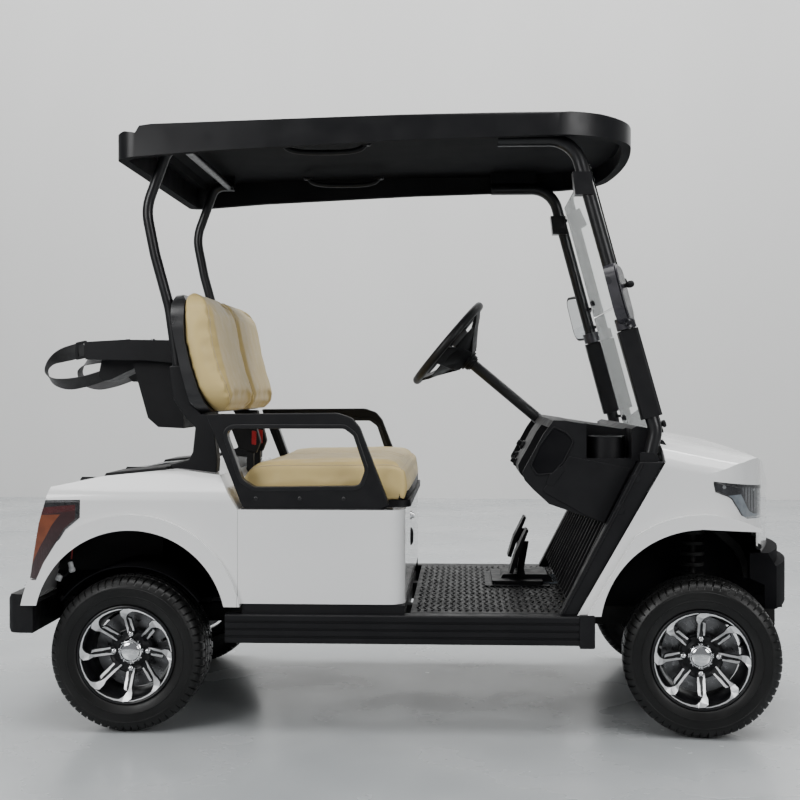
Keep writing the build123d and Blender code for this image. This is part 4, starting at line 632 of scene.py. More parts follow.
def dished(place, lines, low, high, materials, name):
    """Flat outlines repeated for the wheel's eight arms, bent to the dish, from low to high over it."""
    verts, faces, indices = [], [], []
    for arm in range(8):
        turn = Matrix.Rotation(math.pi * arm / 4, 3, "Z")
        for line in lines:
            work = bmesh.new()
            loop = [work.verts.new((x, y, 0)) for x, y in line]
            for i, vert in enumerate(loop):
                work.edges.new((vert, loop[(i + 1) % len(loop)]))
            bmesh.ops.triangle_fill(work, edges=work.edges[:], use_beauty=True)
            work.verts.index_update()
            base, count = len(verts), len(work.verts)
            for lift in (high, low):
                for vert in work.verts:
                    at = turn @ Vector((vert.co.x, vert.co.y, dish_height(vert.co.xy.length) + lift))
                    verts.append(place @ (at / 1000))
            for face in work.faces:
                order = [v.index for v in face.verts]
                if face.normal.z < 0:
                    order.reverse()
                faces += [tuple(base + i for i in order), tuple(base + count + i for i in reversed(order))]
                indices += [0, 1]
            ring = [v.index for v in loop]
            for a, b in zip(ring, ring[1:] + ring[:1]):
                faces.append((base + a, base + b, base + count + b, base + count + a))
                indices.append(1)
            work.free()
    obj = make(name, verts, faces, materials, indices)
    with edited(obj) as work:
        bmesh.ops.recalc_face_normals(work, faces=work.faces)
    return obj


def rim(corner, place):
    """Cast wheel: black barrel, hub and arms, with bright machined plates on the blades' faces."""
    body = f"wheel_{corner}"
    barrel = ride(shade(lathe(f"rim_barrel_{corner}", BARREL, place, "alloy_black", 128), 40), body)
    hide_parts(f"rim_{corner}")
    ride(shade(lathe(f"rim_hub_{corner}", HUB, place, "alloy_black", 72, closed=False), 40), body)
    ride(dished(place, [ARM], -13, 0, ["alloy_black", "alloy_black"], f"rim_arms_{corner}"), body)
    ride(dished(place, [BLADE, RIDGE], -2, 0.9, ["alloy_cut", "alloy_black"], f"rim_cut_{corner}"), body)


def hub(corner, place):
    """Bright centre cap with a plain domed badge seat, four capped nuts and the tyre valve."""
    cap = lathe(
        f"hub_dome_{corner}",
        ((0, 19), (38, 19), (38.4, 21), (38.4, 31), (37.6, 34.5), (36, 37.5), (33.6, 40), (31.4, 41.2),
         (30.6, 40.4), (29.6, 40.4),
         (28.8, 42.2), (26, 44.2), (21, 46), (14, 47.2), (7, 47.8), (0, 48)),
        place, ["chrome", "cap_dark"], 72, closed=False,
    )
    shade(cap, 32)
    ride(cap, f"wheel_{corner}")
    nuts = []
    for i in range(4):
        a = math.pi * i / 2
        at = place @ Matrix.Translation((50.8 * math.cos(a) / 1000, 50.8 * math.sin(a) / 1000, 0))
        nut = lathe(f"nut_{i}_{corner}", ((0, 19), (9.0, 19), (9.0, 30), (8.4, 33.6), (6.4, 36),
            (3.4, 37.3), (0, 37.7)), at, "chrome", 6 * 4, closed=False)
        bevel(nut, 0.0008, 2)
        shade(nut, 28)
        nuts.append(ride(nut, f"wheel_{corner}"))
    # tyre valve, standing out of the rim beside a blade
    foot = place @ Vector((0.112, 0.044, 0.055))
    tip = place @ Vector((0.104, 0.041, 0.082))
    tube(f"valve_{corner}", [foot, tip], 0.0042, "tyre_rubber", 12, f"wheel_{corner}")
    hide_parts(f"hub_cap_{corner}")


CORNERS = (
    ("front_left", FRONT_X, 1, REST_STEER), ("front_right", FRONT_X, -1, REST_STEER),
    ("rear_left", REAR_X, 1, 0), ("rear_right", REAR_X, -1, 0),
)
for corner, x, sign, steer in CORNERS:
    place = wheel_place(x, sign, steer)
    tyre(corner, place)
    rim(corner, place)
    hub(corner, place)
    dress(f"disc_{corner}", "disc_steel", 0.0006)


# ---------------------------------------------------------------- cushions
def stuffed(node, name, lo, hi, cell, pressure, pins, limit):
    """Cover of one cushion: its solid remeshed evenly, then blown up as cloth with its pinned points held."""
    obj = copied(node, name)
    with edited(obj) as work:
        away = [v for v in work.verts if not lo <= v.co.y <= hi]
        bmesh.ops.delete(work, geom=away, context="VERTS")
    obj.data.materials.append(mats["leather"])
    remesh = obj.modifiers.new("even", "REMESH")
    remesh.mode = "VOXEL"
    remesh.voxel_size = cell
    applied(obj)
    relax = obj.modifiers.new("relax", "SMOOTH")
    relax.factor = 0.5
    relax.iterations = 2
    applied(obj)
    held = obj.vertex_groups.new(name="held")
    held.add([v.index for v in obj.data.vertices if pins(v.co)], 1.0, "REPLACE")
    before = [v.co.copy() for v in obj.data.vertices]
    cloth = obj.modifiers.new("cloth", "CLOTH")
    settings = cloth.settings
    settings.quality = 6
    settings.mass = 0.5
    settings.tension_stiffness = 30
    settings.compression_stiffness = 30
    settings.shear_stiffness = 12
    settings.bending_stiffness = 6
    settings.vertex_group_mass = "held"
    settings.use_pressure = True
    settings.uniform_pressure_force = pressure
    settings.effector_weights.gravity = 0.0
    cloth.collision_settings.use_self_collision = False
    cloth.point_cache.frame_start = 1
    cloth.point_cache.frame_end = 20
    for step in range(1, 21):
        bpy.context.scene.frame_set(step)
    applied(obj)
    bpy.context.scene.frame_set(1)
    for vertex, old in zip(obj.data.vertices, before):
        move = vertex.co - old
        if move.length > limit:
            vertex.co = old + move.normalized() * limit
    return obj


def applied(obj):
    """Bakes an object's modifiers into its mesh."""
    depsgraph = bpy.context.evaluated_depsgraph_get()
    mesh = bpy.data.meshes.new_from_object(obj.evaluated_get(depsgraph))
    obj.modifiers.clear()
    old = obj.data
    obj.data = mesh
    bpy.data.meshes.remove(old)


def near_line(point, line):
    """Distance from a point to a run of points."""
    best = 1e9
    for a, b in zip(line, line[1:]):
        span = b - a
        t = max(0.0, min(1.0, (point - a).dot(span) / span.length_squared))
        best = min(best, (point - (a + span * t)).length)
    return best


def crease(obj, lines, depth, width):
    """Presses sewn lines into a cover."""
    for vertex in obj.data.vertices:
        gap = min(near_line(vertex.co, line) for line in lines)
        if gap < width * 3:
            vertex.co -= vertex.normal * depth * math.exp(-(gap / width) ** 2)


def finish_cover(obj, body):
    smooth = obj.modifiers.new("fine", "SUBSURF")
    smooth.levels = smooth.render_levels = 1
    applied(obj)
    obj.data.materials.clear()
    obj.data.materials.append(mats["leather"])
    obj.data.shade_smooth()
    ride(obj, body)


def seam(obj, name, line, body, radius=0.0011, lift=0.0004):
    """Line of sewing laid on a cover: each point drops to the nearest place on it."""
    laid = []
    for point in smooth_run(line, 10):
        _, at, normal, _ = obj.closest_point_on_mesh(point)
        laid.append(at + normal * lift)
    return tube(name, laid, radius, "thread", 8, body)


SEAT_HELD_Z = 0.682
# share of the solid's height over SEAT_HELD_Z that the cover keeps, and how far its front comes back
SEAT_KEPT = 0.82
SEAT_DRAWN_IN = 0.016
seat = stuffed("seat_cushion", "seat_cover", -1, 1, 0.011, 1.6, lambda co: co.z < SEAT_HELD_Z, 0.006)
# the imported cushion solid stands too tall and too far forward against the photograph, so the cover
# is let down and its front drawn in to match
for vertex in seat.data.vertices:
    over = vertex.co.z - SEAT_HELD_Z
    vertex.co.z = SEAT_HELD_Z + max(over, 0) * SEAT_KEPT + min(over, 0)
    vertex.co.x -= SEAT_DRAWN_IN * max(0.0, min(1.0, (vertex.co.x - REAR_X - 0.55) / 0.25))
SEAT_EDGE = [rear(x, y, 682 + (z - 682) * SEAT_KEPT) for x, y, z in (
    (338, -474, 782), (430, -474, 797), (600, -474, 801), (744, -474, 800), (790, -466, 787),
    (796, -440, 781),
    (796, 0, 781), (796, 440, 781), (790, 466, 787), (744, 474, 800), (600, 474, 801), (430, 474, 797),
    (338, 474, 782),
)]
PANEL = [[rear(x, y, 784) for x, y in ((352, side * 44), (560, side * 40), (784, side * 52))]
    for side in (-1, 1)]
crease(seat, [SEAT_EDGE] + PANEL, 0.005, 0.008)
finish_cover(seat, "seat")
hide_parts("seat_cushion")
seam(seat, "seat_edge_seam", SEAT_EDGE, "seat")
for i, line in enumerate(PANEL):
    seam(seat, f"seat_panel_seam_{i}", line, "seat")


def back_lobe(name, side):
    """One of the two backrest pads, with a sewn edge along each side of its front."""
    lo, hi = sorted((side * 0.002, side * 0.48))
    pad = stuffed("seat_back_cushion", f"back_cover_{name}", lo, hi, 0.0095, 2.0,
        lambda co: co.x < REAR_X + 0.150 or co.z < 0.930, 0.009)
    edges = []
    for y0 in (side * 455, side * 17):
        edges.append([rear(x, y0 + (side if abs(y0) < 100 else -side) * inset, z) for x, inset, z in (
            (262, 66, 932), (282, 26, 956), (272, 10, 992), (252, 2, 1052), (234, 0, 1122), (220, 2, 1190),
            (208, 22, 1246), (192, 70, 1278))])
    crease(pad, edges, 0.004, 0.008)
    finish_cover(pad, "cart")
    for i, line in enumerate(edges):
        seam(pad, f"back_seam_{name}_{i}", line, "cart")
    return pad


for name, side in SIDES:
    pad = back_lobe(name, side)
    if side > 0:
        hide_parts("seat_back_cushion")

# ribbed rubber strip under the front of the seat cushion
for i in range(4):
    tube(f"seat_front_rib_{i}", [rear(x, y, 672 + 6 * i) for x,
        y in ((784, -478), (807, -458), (811, 0), (807, 458), (784, 478))], 0.0032, "trim_black", 12,
        "seat")


# ---------------------------------------------------------------- steering wheel
STEER_HUB = ahead(-746, 280, 1155)
STEER_AXIS = Vector((-0.766, 0, 0.643)).normalized()
STEER_SIDE = Vector((0, 1, 0))
STEER_TOP = STEER_AXIS.cross(STEER_SIDE).normalized() * -1
if STEER_TOP.z < 0:
    STEER_TOP.negate()


def on_wheel(u, v, w):
    """Point on the steering wheel, in millimetres: across, up the face, and out toward the driver."""
    return STEER_HUB + (STEER_SIDE * u + STEER_TOP * v + STEER_AXIS * w) / 1000


ring = [on_wheel(168 * math.cos(a), 168 * math.sin(a), 0) for a in (math.pi * i / 48 for i in range(96))]
grip = tube("steering_grip", ring, 0.0145, "grip", 24, "steering_wheel", closed=True)
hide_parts("steering_wheel")
for i in range(4):
    # dished blades, wide at the hub and turned back a little from straight ahead
    a = math.radians(18 + 90 * i)
    across = Vector((math.cos(a), math.sin(a)))
    over = Vector((-math.sin(a), math.cos(a)))
    rows = ((24, 40, -86, 14), (44, 42, -78, 16), (72, 44, -58, 16), (104, 42, -38, 14),
        (136, 38, -22, 12), (163, 34, -4, 10))
    verts = []
    for r, half, w, thick in rows:
        for s, t in ((-1, -1), (1, -1), (1, 1), (-1, 1)):
            p = across * r + over * half * s
            verts.append(on_wheel(p.x, p.y, w + t * thick / 2))
    last = 4 * (len(rows) - 1)
    faces = [(0, 1, 2, 3), (last, last + 3, last + 2, last + 1)]
    faces += [(4 * k + n, 4 * k + (n + 1) % 4, 4 * k + 4 + (n + 1) % 4, 4 * k + 4 + n)
        for k in range(len(rows) - 1) for n in range(4)]
    spoke = outward(make(f"steering_spoke_{i}", verts, faces, ["trim_black"]))
    bevel(spoke, 0.003, 3)
    shade(spoke, 50)
    ride(spoke, "steering_wheel")
wheel_frame = Matrix.Translation(STEER_HUB) @ Matrix((STEER_SIDE, STEER_TOP,
    STEER_AXIS)).transposed().to_4x4()
ride(shade(lathe("steering_boss", ((0, -44), (44, -45), (56, -50), (60, -57), (58, -66), (48, -78),
    (40, -86), (37, -92), (37, -99), (30, -100), (29, -112), (25, -113), (24, -118), (0, -118)),
    wheel_frame, "trim_black", 48, closed=False), 30), "steering_wheel")
ride(shade(lathe("steering_cone", ((38, -88), (74, -66), (112, -44), (124, -34), (121, -30), (108, -38),
    (72, -58), (40, -78)), wheel_frame, "trim_black", 72), 30), "steering_wheel")
ride(shade(lathe("steering_pad", ((0, -40.5), (30, -41), (40, -43), (42, -46), (0, -46)), wheel_frame,
    "frame_black", 40, closed=False), 30), "steering_wheel")


# ---------------------------------------------------------------- armrests
ARMREST = rounded(((227, 921), (610, 924), (651, 910), (674, 883), (761, 656), (735, 645), (335, 645)),
    (6, 60, 30, 30, 14, 8, 22), 5)
HOLE = rounded(((279, 880), (630, 880), (657, 860), (691, 759), (674, 712), (367, 708), (333, 730)),
    (26, 20, 22, 30, 26, 26, 26), 6)


def framed(name, outer, inner, y0, y1, material, width):
    """Plate with a hole through it, from two outlines with matched corners."""
    work = bmesh.new()
    for line in (outer, inner):
        loop = [work.verts.new(rear(x, y0, z)) for x, z in line]
        for i, vert in enumerate(loop):
            work.edges.new((vert, loop[(i + 1) % len(loop)]))
    bmesh.ops.triangle_fill(work, edges=work.edges[:], use_beauty=True)
    bmesh.ops.dissolve_limit(work, angle_limit=0.01, verts=work.verts[:], edges=work.edges[:])
    made = bmesh.ops.extrude_face_region(work, geom=work.faces[:])
    bmesh.ops.translate(work, verts=[g for g in made["geom"] if isinstance(g, bmesh.types.BMVert)],
        vec=(0, (y1 - y0) / 1000, 0))
    bmesh.ops.recalc_face_normals(work, faces=work.faces)
    mesh = bpy.data.meshes.new(name)
    work.to_mesh(mesh)
    work.free()
    mesh.materials.append(mats[material])
    obj = linked(name, mesh)
    bevel(obj, width, 3, 40)
    shade(obj, 40)
    even(obj)
    return obj


def grown(line, amount):
    """Outline moved outward, or inward when the amount is negative."""
    count = len(line)
    out = []
    area = sum(line[i - 1][0] * line[i][1] - line[i][0] * line[i - 1][1] for i in range(count))
    way = 1 if area > 0 else -1
    for i in range(count):
        a, b = Vector(line[i - 1]), Vector(line[(i + 1) % count])
        along = (b - a).normalized()
        out.append((line[i][0] + along.y * amount * way, line[i][1] - along.x * amount * way))
    return out


for name, side in SIDES:
    y = side * 540
    core = framed(f"armrest_core_{name}", ARMREST, HOLE, y - 19, y + 19, "trim_black", 0.006)
    ride(core, "cart")
    step = framed(f"armrest_band_{name}", grown(HOLE, 11), grown(HOLE, -1.5), y - 20.5, y + 20.5,
        "frame_black", 0.002)
    ride(step, "cart")
    if side > 0:
        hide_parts("armrests")
    slab(f"armrest_foot_{name}", ((330, 641), (768, 641), (770, 648), (330, 648)), y - 24, y + 24,
        "trim_black", width=0.002, body="cart")
    for k, x in enumerate((372, 500, 628)):
        place = Matrix.Translation(rear(x, side * 559, 676)) @ Matrix.Rotation(-side * math.pi / 2, 4, "X")
        bolt = lathe(f"armrest_bolt_{name}_{k}",
            ((0, 2.6), (3, 2.4), (5, 1.6), (6, 0.4), (6, -1), (0, -1)), place, "frame_black", 20,
            closed=False)
        shade(bolt, 30)
        ride(bolt, "cart")


# ---------------------------------------------------------------- lamps
def zoned(node, name, place, zones, materials):
    """Copy of a node cut along the edges of side outlines, with a material in each; later outlines win."""
    obj = copied(node, name)
    with edited(obj) as work:
        for _, line in zones:
            for a, b in zip(line, line[1:] + line[:1]):
                p, q = place(a[0], 0, a[1]), place(b[0], 0, b[1])
                way = (q - p).cross(Vector((0, 1, 0)))
                bmesh.ops.bisect_plane(work, geom=work.verts[:] + work.edges[:] + work.faces[:],
                    plane_co=p, plane_no=way, dist=1e-5)
        work.faces.ensure_lookup_table()
        for face in work.faces:
            middle = face.calc_center_median()
            for number, line in zones:
                ring = [place(x, 0, z) for x, z in line]
                inside = False
                for p, q in zip(ring, ring[1:] + ring[:1]):
                    if (p.z > middle.z) == (q.z > middle.z):
                        continue
                    if middle.x < (q.x - p.x) * (middle.z - p.z) / (q.z - p.z) + p.x:
                        inside = not inside
                if inside:
                    face.material_index = number
    for material in materials:
        obj.data.materials.append(mats[material])
    shade(obj, 40)
    ride(obj, "cart")
    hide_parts(node)
    return obj


LAMP_ZONES = [
    (1, [(0, 726), (60, 718), (127, 711), (200, 697), (200, 770), (0, 770)]),
    (2, [(62, 690), (103, 692), (122, 660), (136, 640), (152, 631), (196, 628), (196, 617), (124, 616),
     (93, 650)]),
    (3, [(108, 711), (196, 698), (196, 634), (150, 637), (138, 642), (112, 690)]),
    (4, [(120, 625), (196, 622), (196, 618), (120, 620)]),
    (4, [(118, 614), (196, 611), (196, 608), (118, 610)]),
    (4, [(43, 716), (47, 721), (53, 720), (56, 714), (52, 709), (46, 710)]),
    (4, [(150, 702), (156, 704), (158, 699), (152, 697)]),
]
headlamp = zoned("headlights", "headlamp_lens", ahead, LAMP_ZONES,
    ("lens_smoke", "lamp_gasket", "lamp_grey", "lamp_ribs", "lamp_silver"))
TAIL_ZONES = [
    (1, [(-260, 700), (-120, 700), (-120, 661), (-246, 650)]),
    (2, [(-256, 648), (-152, 657), (-152, 640), (-262, 628)]),
    (3, [(-270, 627), (-196, 629), (-206, 618), (-222, 596), (-238, 566), (-254, 540), (-270, 512),
     (-290, 470), (-310, 470)]),
    (1, [(-152, 700), (-120, 700), (-120, 590), (-152, 612)]),
]
tail_lamp = zoned("tail_lamps", "tail_lamp_lens", rear, TAIL_ZONES,
    ("lens_dark_red", "lamp_gasket", "lens_red", "lens_amber"))


def lamp_seal(lens, name, line, place, width):
    """Dark rubber line laid along a lamp's edge on both sides of the cart."""
    for side_name, side in SIDES:
        laid = []
        for (x0, z0), (x1, z1) in zip(line, line[1:]):
            for k in range(8):
                t = k / 8
                laid.append(lens.closest_point_on_mesh(place(x0 + (x1 - x0) * t, side * 620,
                    z0 + (z1 - z0) * t))[1])
        tube(f"{name}_{side_name}", laid, width, "lamp_gasket", 8)


lamp_seal(tail_lamp, "tail_lamp_seal", ((-250, 664), (-141, 668), (-142, 621), (-183, 586), (-243, 491),
    (-262, 447)), rear, 0.0028)
lamp_seal(headlamp, "headlamp_seal", ((190, 708), (166, 711), (22, 728), (27, 704), (71, 687), (108, 633),
    (128, 621), (190, 613)), ahead, 0.0022)


# ---------------------------------------------------------------- shaped plates
def frame_at(origin, u, w):
    """Place whose local X is u and local Z is w."""
    w = Vector(w).normalized()
    v = w.cross(Vector(u)).normalized()
    u = v.cross(w)
    return Matrix.Translation(origin) @ Matrix((u, v, w)).transposed().to_4x4()


def plate(name, outline, place, w0, w1, material, width=0.001, body="cart", segments=2):
    """Outline in millimetres in a place's own plane, from height w0 to w1."""
    verts = [place @ Vector((x / 1000, y / 1000, w / 1000)) for w in (w0, w1) for x, y in outline]
    return prism(name, verts, material, width, segments, body)


def oblong(wide, high, radius):
    return rounded([(-wide / 2, -high / 2), (wide / 2, -high / 2), (wide / 2, high / 2),
        (-wide / 2, high / 2)], radius, 6)


def turned(name, profile, at, axis, material, segments=32, body="cart", angle=30):
    """Turned piece standing at a point along an axis."""
    side = Vector((0, 0, 1)) if abs(Vector(axis).normalized().z) < 0.9 else Vector((1, 0, 0))
    obj = lathe(name, profile, frame_at(at, side, axis), material, segments, closed=False)
    shade(obj, angle)
    return ride(obj, body)


BOLT = ((0, 3.6), (3.5, 3.4), (6, 2.4), (7, 0.6), (7, -1.5), (0, -1.5))


def bolts(name, spots, axis, material="steel", scale=1.0):
    for i, at in enumerate(spots):
        turned(f"{name}_{i}", [(r * scale, z * scale) for r, z in BOLT], at, axis, material, 20)


# ---------------------------------------------------------------- mirrors
LEAN = Vector((-0.264, 0, 0.9645))
for name, side in SIDES:
    across = Vector((-side * 0.2756, 0.9613, 0))
    face = LEAN.cross(across).normalized()
    centre = ahead(-257, side * 625, 1261)
    mirror = frame_at(centre, across, face)
    plate(f"mirror_glass_{name}", oblong(112, 150, 32), mirror, 15.2, 16.2, "mirror_glass", 0.0004)
    plate(f"mirror_rim_{name}", oblong(126, 164, 38), mirror, 12, 15.4, "trim_black", 0.0015)
    plate(f"mirror_back_{name}", oblong(116, 156, 36), mirror, -21, -14, "mirror_case", 0.005,
        segments=3)
    turned(f"mirror_ball_{name}", ((0, 12), (5, 11), (9, 7), (10.5, 0), (9, -7), (6, -12), (6, -22),
        (0, -22)), centre - face * 0.034 + Vector((0, 0, 0.018)), -face, "trim_black", 24)


# ---------------------------------------------------------------- bag straps and carrier
def ribbon(name, rows, half, thick, material, body="cart", steps=6):
    """Flat strap along a run of (point, direction of its width), thick in the third direction."""
    points = smooth_run([p for p, _ in rows], steps)
    ways = smooth_run([Vector(w).normalized() for _, w in rows], steps)
    verts, faces = [], []
    for i, (p, w) in enumerate(zip(points, ways)):
        along = (points[min(i + 1, len(points) - 1)] - points[max(i - 1, 0)]).normalized()
        w = (w - along * w.dot(along)).normalized()
        n = along.cross(w).normalized()
        for k in range(5):
            verts.append(p + w * half * (k / 2 - 1) + n * thick / 2)
        for k in range(5):
            verts.append(p + w * half * (1 - k / 2) - n * thick / 2)
    count = len(points)
    for i in range(count - 1):
        for k in range(10):
            faces.append((i * 10 + k, i * 10 + (k + 1) % 10, (i + 1) * 10 + (k + 1) % 10, (i + 1) * 10 + k))
    faces += [tuple(range(10)), tuple(range(count * 10 - 1, count * 10 - 11, -1))]
    obj = outward(make(name, verts, faces, [material]))
    shade(obj, 50)
    ride(obj, body)
    length = sum((b - a).length for a, b in zip(points, points[1:]))
    return obj, length


STRAP = (
    ((-232, 1122), (0, 0.05, 1)), ((-265, 1113), (0, 0.15, 1)), ((-307, 1100), (0, 0.55, 0.8)),
    ((-343, 1078), (0, 0.95, 0.3)),
    ((-357, 1049), (0.1, 1, 0)), ((-335, 1019), (0.2, 0.9, 0.4)), ((-290, 1010), (0, 0.7, 0.7)),
    ((-240, 1017), (0, 0.72, 0.7)),
    ((-194, 1030), (0, 0.75, 0.65)), ((-140, 1050), (0, 0.8, 0.6)), ((-92, 1074), (0, 0.9, 0.4)),
)
for name, side in SIDES:
    rows = [(rear(x, side * 190, z), (wx, side * wy, wz)) for (x, z), (wx, wy, wz) in STRAP]
    strap, length = ribbon(f"bag_strap_{name}", rows, 0.024, 0.0024, "webbing")
    if side > 0:
        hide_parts("bag_straps")
    # slide buckle where the strap leaves the carrier's arm
    buckle = framed(f"strap_buckle_{name}", rounded([(-262, 1086), (-226, 1094), (-226, 1150),
        (-262, 1142)], 5, 3),
                    rounded([(-254, 1096), (-234, 1101), (-234, 1141), (-254, 1134)], 3, 3),
                    side * 190 - 4, side * 190 + 4, "trim_black", 0.0015)
    ride(buckle, "cart")
bolts("arm_bolt", [rear(x, y, 1150) for x in (-88, -8) for y in (-214, 214)], (0, 0, 1), "steel")
for name, side in SIDES:
    slab(f"carrier_top_{name}", rounded([(-96, 1128), (52, 1116), (52, 1149), (-96, 1151)], 3, 3),
        side * 204, side * 212, "frame_black", width=0.0015)


# ---------------------------------------------------------------- roof handles and clips
for name, side in SIDES:
    grab = smooth_run([rear(x, side * 330, z) for x,
        z in ((424, 1744), (440, 1728), (480, 1719), (548, 1717), (620, 1719), (660, 1728), (676, 1744))],
        6)
    tube(f"roof_handle_{name}", grab, 0.0085, "trim_black", 16)
    for k, x in enumerate((424, 676)):
        turned(f"roof_handle_foot_{name}_{k}", ((0, 6), (14, 6), (17, 2), (17, -4), (0, -4)),
            rear(x, side * 330, 1742), (0, 0, -1), "trim_black", 28)


# ---------------------------------------------------------------- dash, cowl and floor fittings
for name, side in SIDES:
    slab(f"dash_end_{name}", rounded([(-385, 799), (-206, 764), (-284, 604), (-340, 628), (-464, 697)],
        (8, 3, 3, 6, 10), 4), side * 505, side * 508, "trim_black", ahead, 0.0012)
    for k, (x, z) in enumerate(((-200, 739), (-244, 648))):
        turned(f"kick_plug_{name}_{k}", ((0, 1.6), (9, 1.6), (12.4, 1.2), (13.6, 0), (13.6, -2), (0, -2)),
            ahead(x, side * 568, z), (0, side, 0), "trim_black", 32)
    spine = [ahead(x, side * 569, z) for x, z in ((-404, 352), (-180, 779))]
    tube(f"kick_edge_{name}", spine, 0.0022, "trim_black", 8)
for i in range(15):
    y = -490 + 70 * i
    slab(f"kick_rib_{i}", [(-392, 378), (-386, 372), (-232, 690), (-238, 694)], y - 4, y + 4, "trim_black",
        ahead, 0.001, 1)
for name, y, at, big in (("direction_switch", 96, (-489, 806), 1.0), ("key_lock", 40, (-514, 752), 0.9),
    ("lamp_knob", 150, (-508, 770), 0.8)):
    turned(name, [(r * big, z * big) for r, z in ((0, 26), (8, 25.5), (9.5, 23), (9.5, 12), (14, 10),
        (16, 6), (16, -4), (0, -4))],
           ahead(at[0], y, at[1]), (-0.87, 0, 0.48), "trim_black", 28)
turned("charge_port", ((0, 7), (17, 6.5), (22, 4), (26, 1), (26, -2), (0, -2)), rear(820, -470, 560),
    (1, 0, 0), "trim_black", 36)
turned("pod_lock", ((0, 9), (7, 9), (8, 7), (8, 3), (12, 2), (13, -2), (0, -2)), rear(820, -470, 622),
    (1, 0, 0), "chrome", 28)
# wavy ribs of the floor mat
WAVES = 26
for i in range(WAVES):
    x = 842 + i * (520 / WAVES)
    run = [rear(x + 5 * math.sin(k * math.pi / 3), -505 + k * 1010 / 72, 346.2) for k in range(73)]
    tube(f"mat_wave_{i}", run, 0.0028, "mat_rubber", 4)
slab("pedal_base", rounded([(-590, 346.4), (-372, 346.4), (-372, 352), (-590, 352)], 1, 2), 60, 270,
    "lamp_grey", ahead, 0.001)
slab("pedal_box", rounded([(-572, 352), (-392, 352), (-410, 376), (-560, 376)], (2, 2, 8, 8), 3), 76, 254,
    "trim_black", ahead, 0.002)
# caps on the front ends of the rockers
for name, side in SIDES:
    slab(f"rocker_end_{name}", rounded([(-362, 255), (-318, 255), (-318, 350), (-362, 350)], 5, 3),
        side * 540, side * 598, "trim_black", ahead, 0.002)
for name, side in SIDES:
    plug = ((0, 2), (8, 1.8), (9.5, 0.5), (9.5, -2), (0, -2))
    turned(f"nose_plug_{name}", plug, ahead(174, side * 438, 531), (0, side, 0), "trim_black", 24)


# ---------------------------------------------------------------- buckles
for name, side in SIDES:
    slab(f"buckle_button_{name}", rounded([(286, 815), (301, 812), (302, 857), (287, 860)], 3, 3),
        side * 70 - 17.6, side * 70 + 17.6, "button_red", width=0.002)


# ---------------------------------------------------------------- inner fenders and underside
for name, side in SIDES:
    # arched liner close over the rear tyre, and its inner wall
    arc = [rear(radius * math.cos(a), 0, 225 + radius * math.sin(a)) for radius,
        steps in ((249, range(8, 33)), (252, range(32, 7, -1)))
           for a in (math.pi * k / 40 for k in steps)]
    verts = [Vector((p.x, side * y / 1000, p.z)) for y in (262, 548) for p in arc]
    count = len(arc)
    faces = [(i, (i + 1) % count, (i + 1) % count + count, i + count) for i in range(count)]
    faces += [(k, k + 1, count - 2 - k, count - 1 - k) for k in range(count // 2 - 1)]
    faces += [(count + k, count + k + 1, 2 * count - 2 - k, 2 * count - 1 - k)
        for k in range(count // 2 - 1)]
    liner = outward(make(f"rear_liner_{name}", verts, faces, ["house_black"]))
    shade(liner, 40)
    ride(liner, "cart")
    slab(f"rear_liner_wall_{name}", [(-300, 345), (-300, 600), (-60, 625), (286, 625), (286, 345)],
        side * 264, side * 267, "house_black", width=0.0)
    # rounded inner fender ahead of the front wheel
    shield = rounded([(58, 588), (74, 588), (150, 520), (172, 470), (172, 420), (158, 420), (150, 466),
        (128, 506), (58, 566)], (2, 6, 20, 16, 2, 2, 14, 18, 6), 4)
    slab(f"front_shield_{name}", shield, side * 268, side * 300, "chassis_black", ahead, 0.002)
slab("nose_valance", rounded([(118, 592), (150, 592), (262, 420), (262, 340), (236, 332), (118, 396)],
    (2, 2, 14, 6, 6, 4), 4), -256, 256, "house_black", ahead, 0.002)
# wiring behind the rear lamp
for name, side in SIDES:
    loom = smooth_run([rear(x, side * 470, z) for x, z in ((-186, 600), (-190, 540), (-195, 486))], 6)
    tube(f"lamp_wire_{name}", loom, 0.0022, "wire_red", 8)
    turned(f"lamp_plug_{name}", ((0, 12), (6, 12), (7.5, 9), (7.5, -6), (9.5, -8), (9.5, -16), (6, -20),
        (0, -20)), rear(-196, side * 470, 466), (-0.25, 0, 1), "plug_white", 24)
    turned(f"lamp_plug_low_{name}", ((0, 10), (8, 10), (9.5, 6), (9.5, -8), (0, -9)),
        rear(-233, side * 470, 430), (0.4, 0, 1), "plug_white", 24)
    tube(f"lamp_wire_low_{name}", [rear(-200, side * 470, 450), rear(-214, side * 470, 436),
        rear(-228, side * 470, 438)], 0.003, "trim_black", 8)


# ---------------------------------------------------------------- dash pockets and cup rims
for name, side in SIDES:
    pocket = rounded([(-430, 884), (-392, 866), (-372, 842), (-402, 782), (-432, 748), (-478, 744),
        (-496, 772), (-470, 830)], (8, 12, 14, 12, 12, 12, 10, 10), 4)
    # a thin sheet of the dull house_black fills the pocket's outline as painted shade for its hollow
    slab(f"dash_pocket_shade_sheet_{name}", pocket, side * 504.4, side * 505.6, "house_black", ahead, 0.0)
    rim_line = [ahead(x, side * 506.2, z) for x, z in pocket]
    tube(f"dash_lip_{name}", rim_line, 0.0024, "trim_black", 8, closed=True)
    slab(f"dash_fold_{name}", rounded([(-440, 746), (-404, 772), (-396, 760), (-430, 712), (-452, 716)],
        (4, 6, 4, 4, 4), 3), side * 505, side * 509, "trim_black", ahead, 0.002)
    cup = frame_at(ahead(-270, side * 430, 853), (1, 0, 0), (0, 0, 1))
    ride(shade(lathe(f"cup_rim_{name}", ((42, -3), (42, 1.5), (44, 3), (52, 3), (54.6, 1.5), (54.6, -3)),
        cup, "trim_black", 64), 40), "cart")


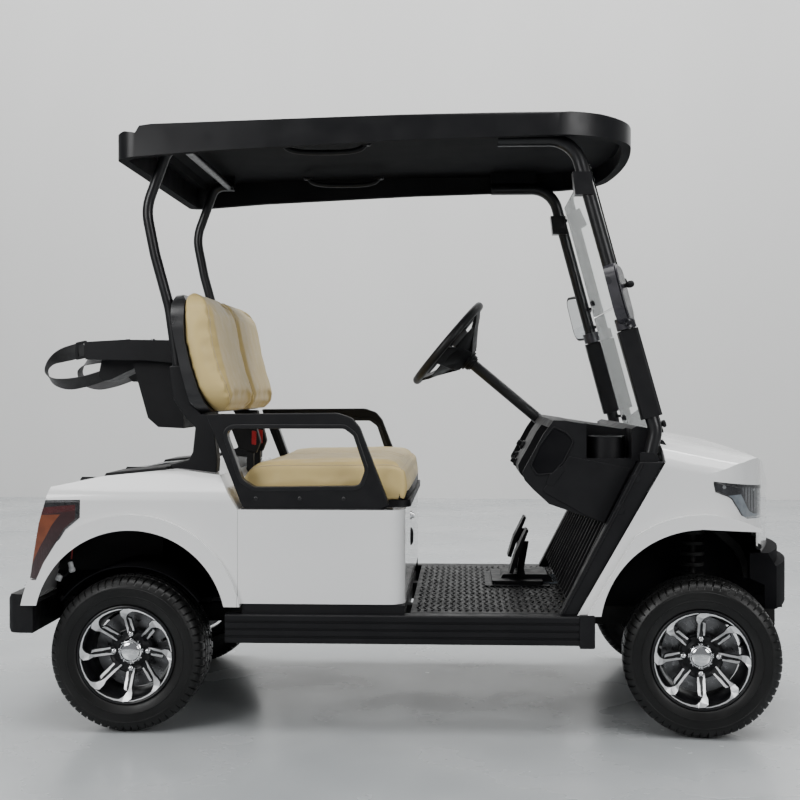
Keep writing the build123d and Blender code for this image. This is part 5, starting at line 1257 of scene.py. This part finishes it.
# ---------------------------------------------------------------- windshield clamps and post feet
for name, side in SIDES:
    for k, (x, z) in enumerate(((-116, 890), (-229, 1304))):
        turned(f"pane_knob_{name}_{k}", ((0, 16), (9, 15), (11, 12), (11, 6), (7, 4), (7, -4), (0, -4)),
            ahead(x, side * 470, z), (0.95, 0, 0.3), "trim_black", 24)
    slab(f"post_foot_{name}", rounded([(-186, 781), (-132, 781), (-132, 800), (-150, 812), (-186, 812)],
        (3, 3, 6, 6, 6), 3), side * 508, side * 552, "trim_black", ahead, 0.003)


# ---------------------------------------------------------------- stage, lights and camera
def plane(name, corners, material):
    obj = make(name, corners, [(0, 1, 2, 3)], [material])


plane("floor", ((-18, -14, -0.0005), (18, -14, -0.0005), (18, 10, -0.0005), (-18, 10, -0.0005)), "floor")
plane("backdrop", ((-18, 8, -0.01), (18, 8, -0.01), (18, 10, 12), (-18, 10, 12)), "backdrop")


def area_light(name, place, aim, size, power, color=(1, 1, 1)):
    data = bpy.data.lights.new(name, "AREA")
    data.shape = "RECTANGLE"
    data.size, data.size_y = size
    data.energy = power
    data.color = color
    obj = linked(name, data)
    obj.location = place
    obj.rotation_euler = (Vector(aim) - Vector(place)).to_track_quat("-Z", "Y").to_euler()


area_light("overhead", (0.2, -1.0, 4.6), (0, 0, 0.6), (5.0, 3.0), 190)
area_light("key_left", (-3.6, -4.6, 3.0), (0, 0, 0.7), (2.6, 2.2), 165)
area_light("fill_right", (3.8, -4.0, 2.4), (0.2, 0, 0.7), (2.2, 2.0), 95)
area_light("rear", (0.5, 1.9, 3.8), (0, 0, 0.8), (5.0, 1.2), 100)

area_light("wall", (0, 4.6, 7.5), (0, 8.6, 2.2), (16.0, 2.0), 900)
sun = bpy.data.lights.new("sky", "SUN")
sun.energy = 0.7
sun.angle = math.radians(70)
linked("sky", sun)

world = bpy.data.worlds.new("studio")
world.use_nodes = True
world.node_tree.nodes["Background"].inputs["Color"].default_value = (0.78, 0.8, 0.83, 1)
world.node_tree.nodes["Background"].inputs["Strength"].default_value = 0.26
bpy.context.scene.world = world

camera_data = bpy.data.cameras.new("camera")
camera_data.lens = 60.86
camera_data.sensor_width = 36
camera = linked("camera", camera_data)
camera.location = (0.1586, -4.4546, 0.9867)
camera.rotation_euler = (math.radians(90 - 0.364), math.radians(-0.014), math.radians(2.688))
bpy.context.scene.camera = camera
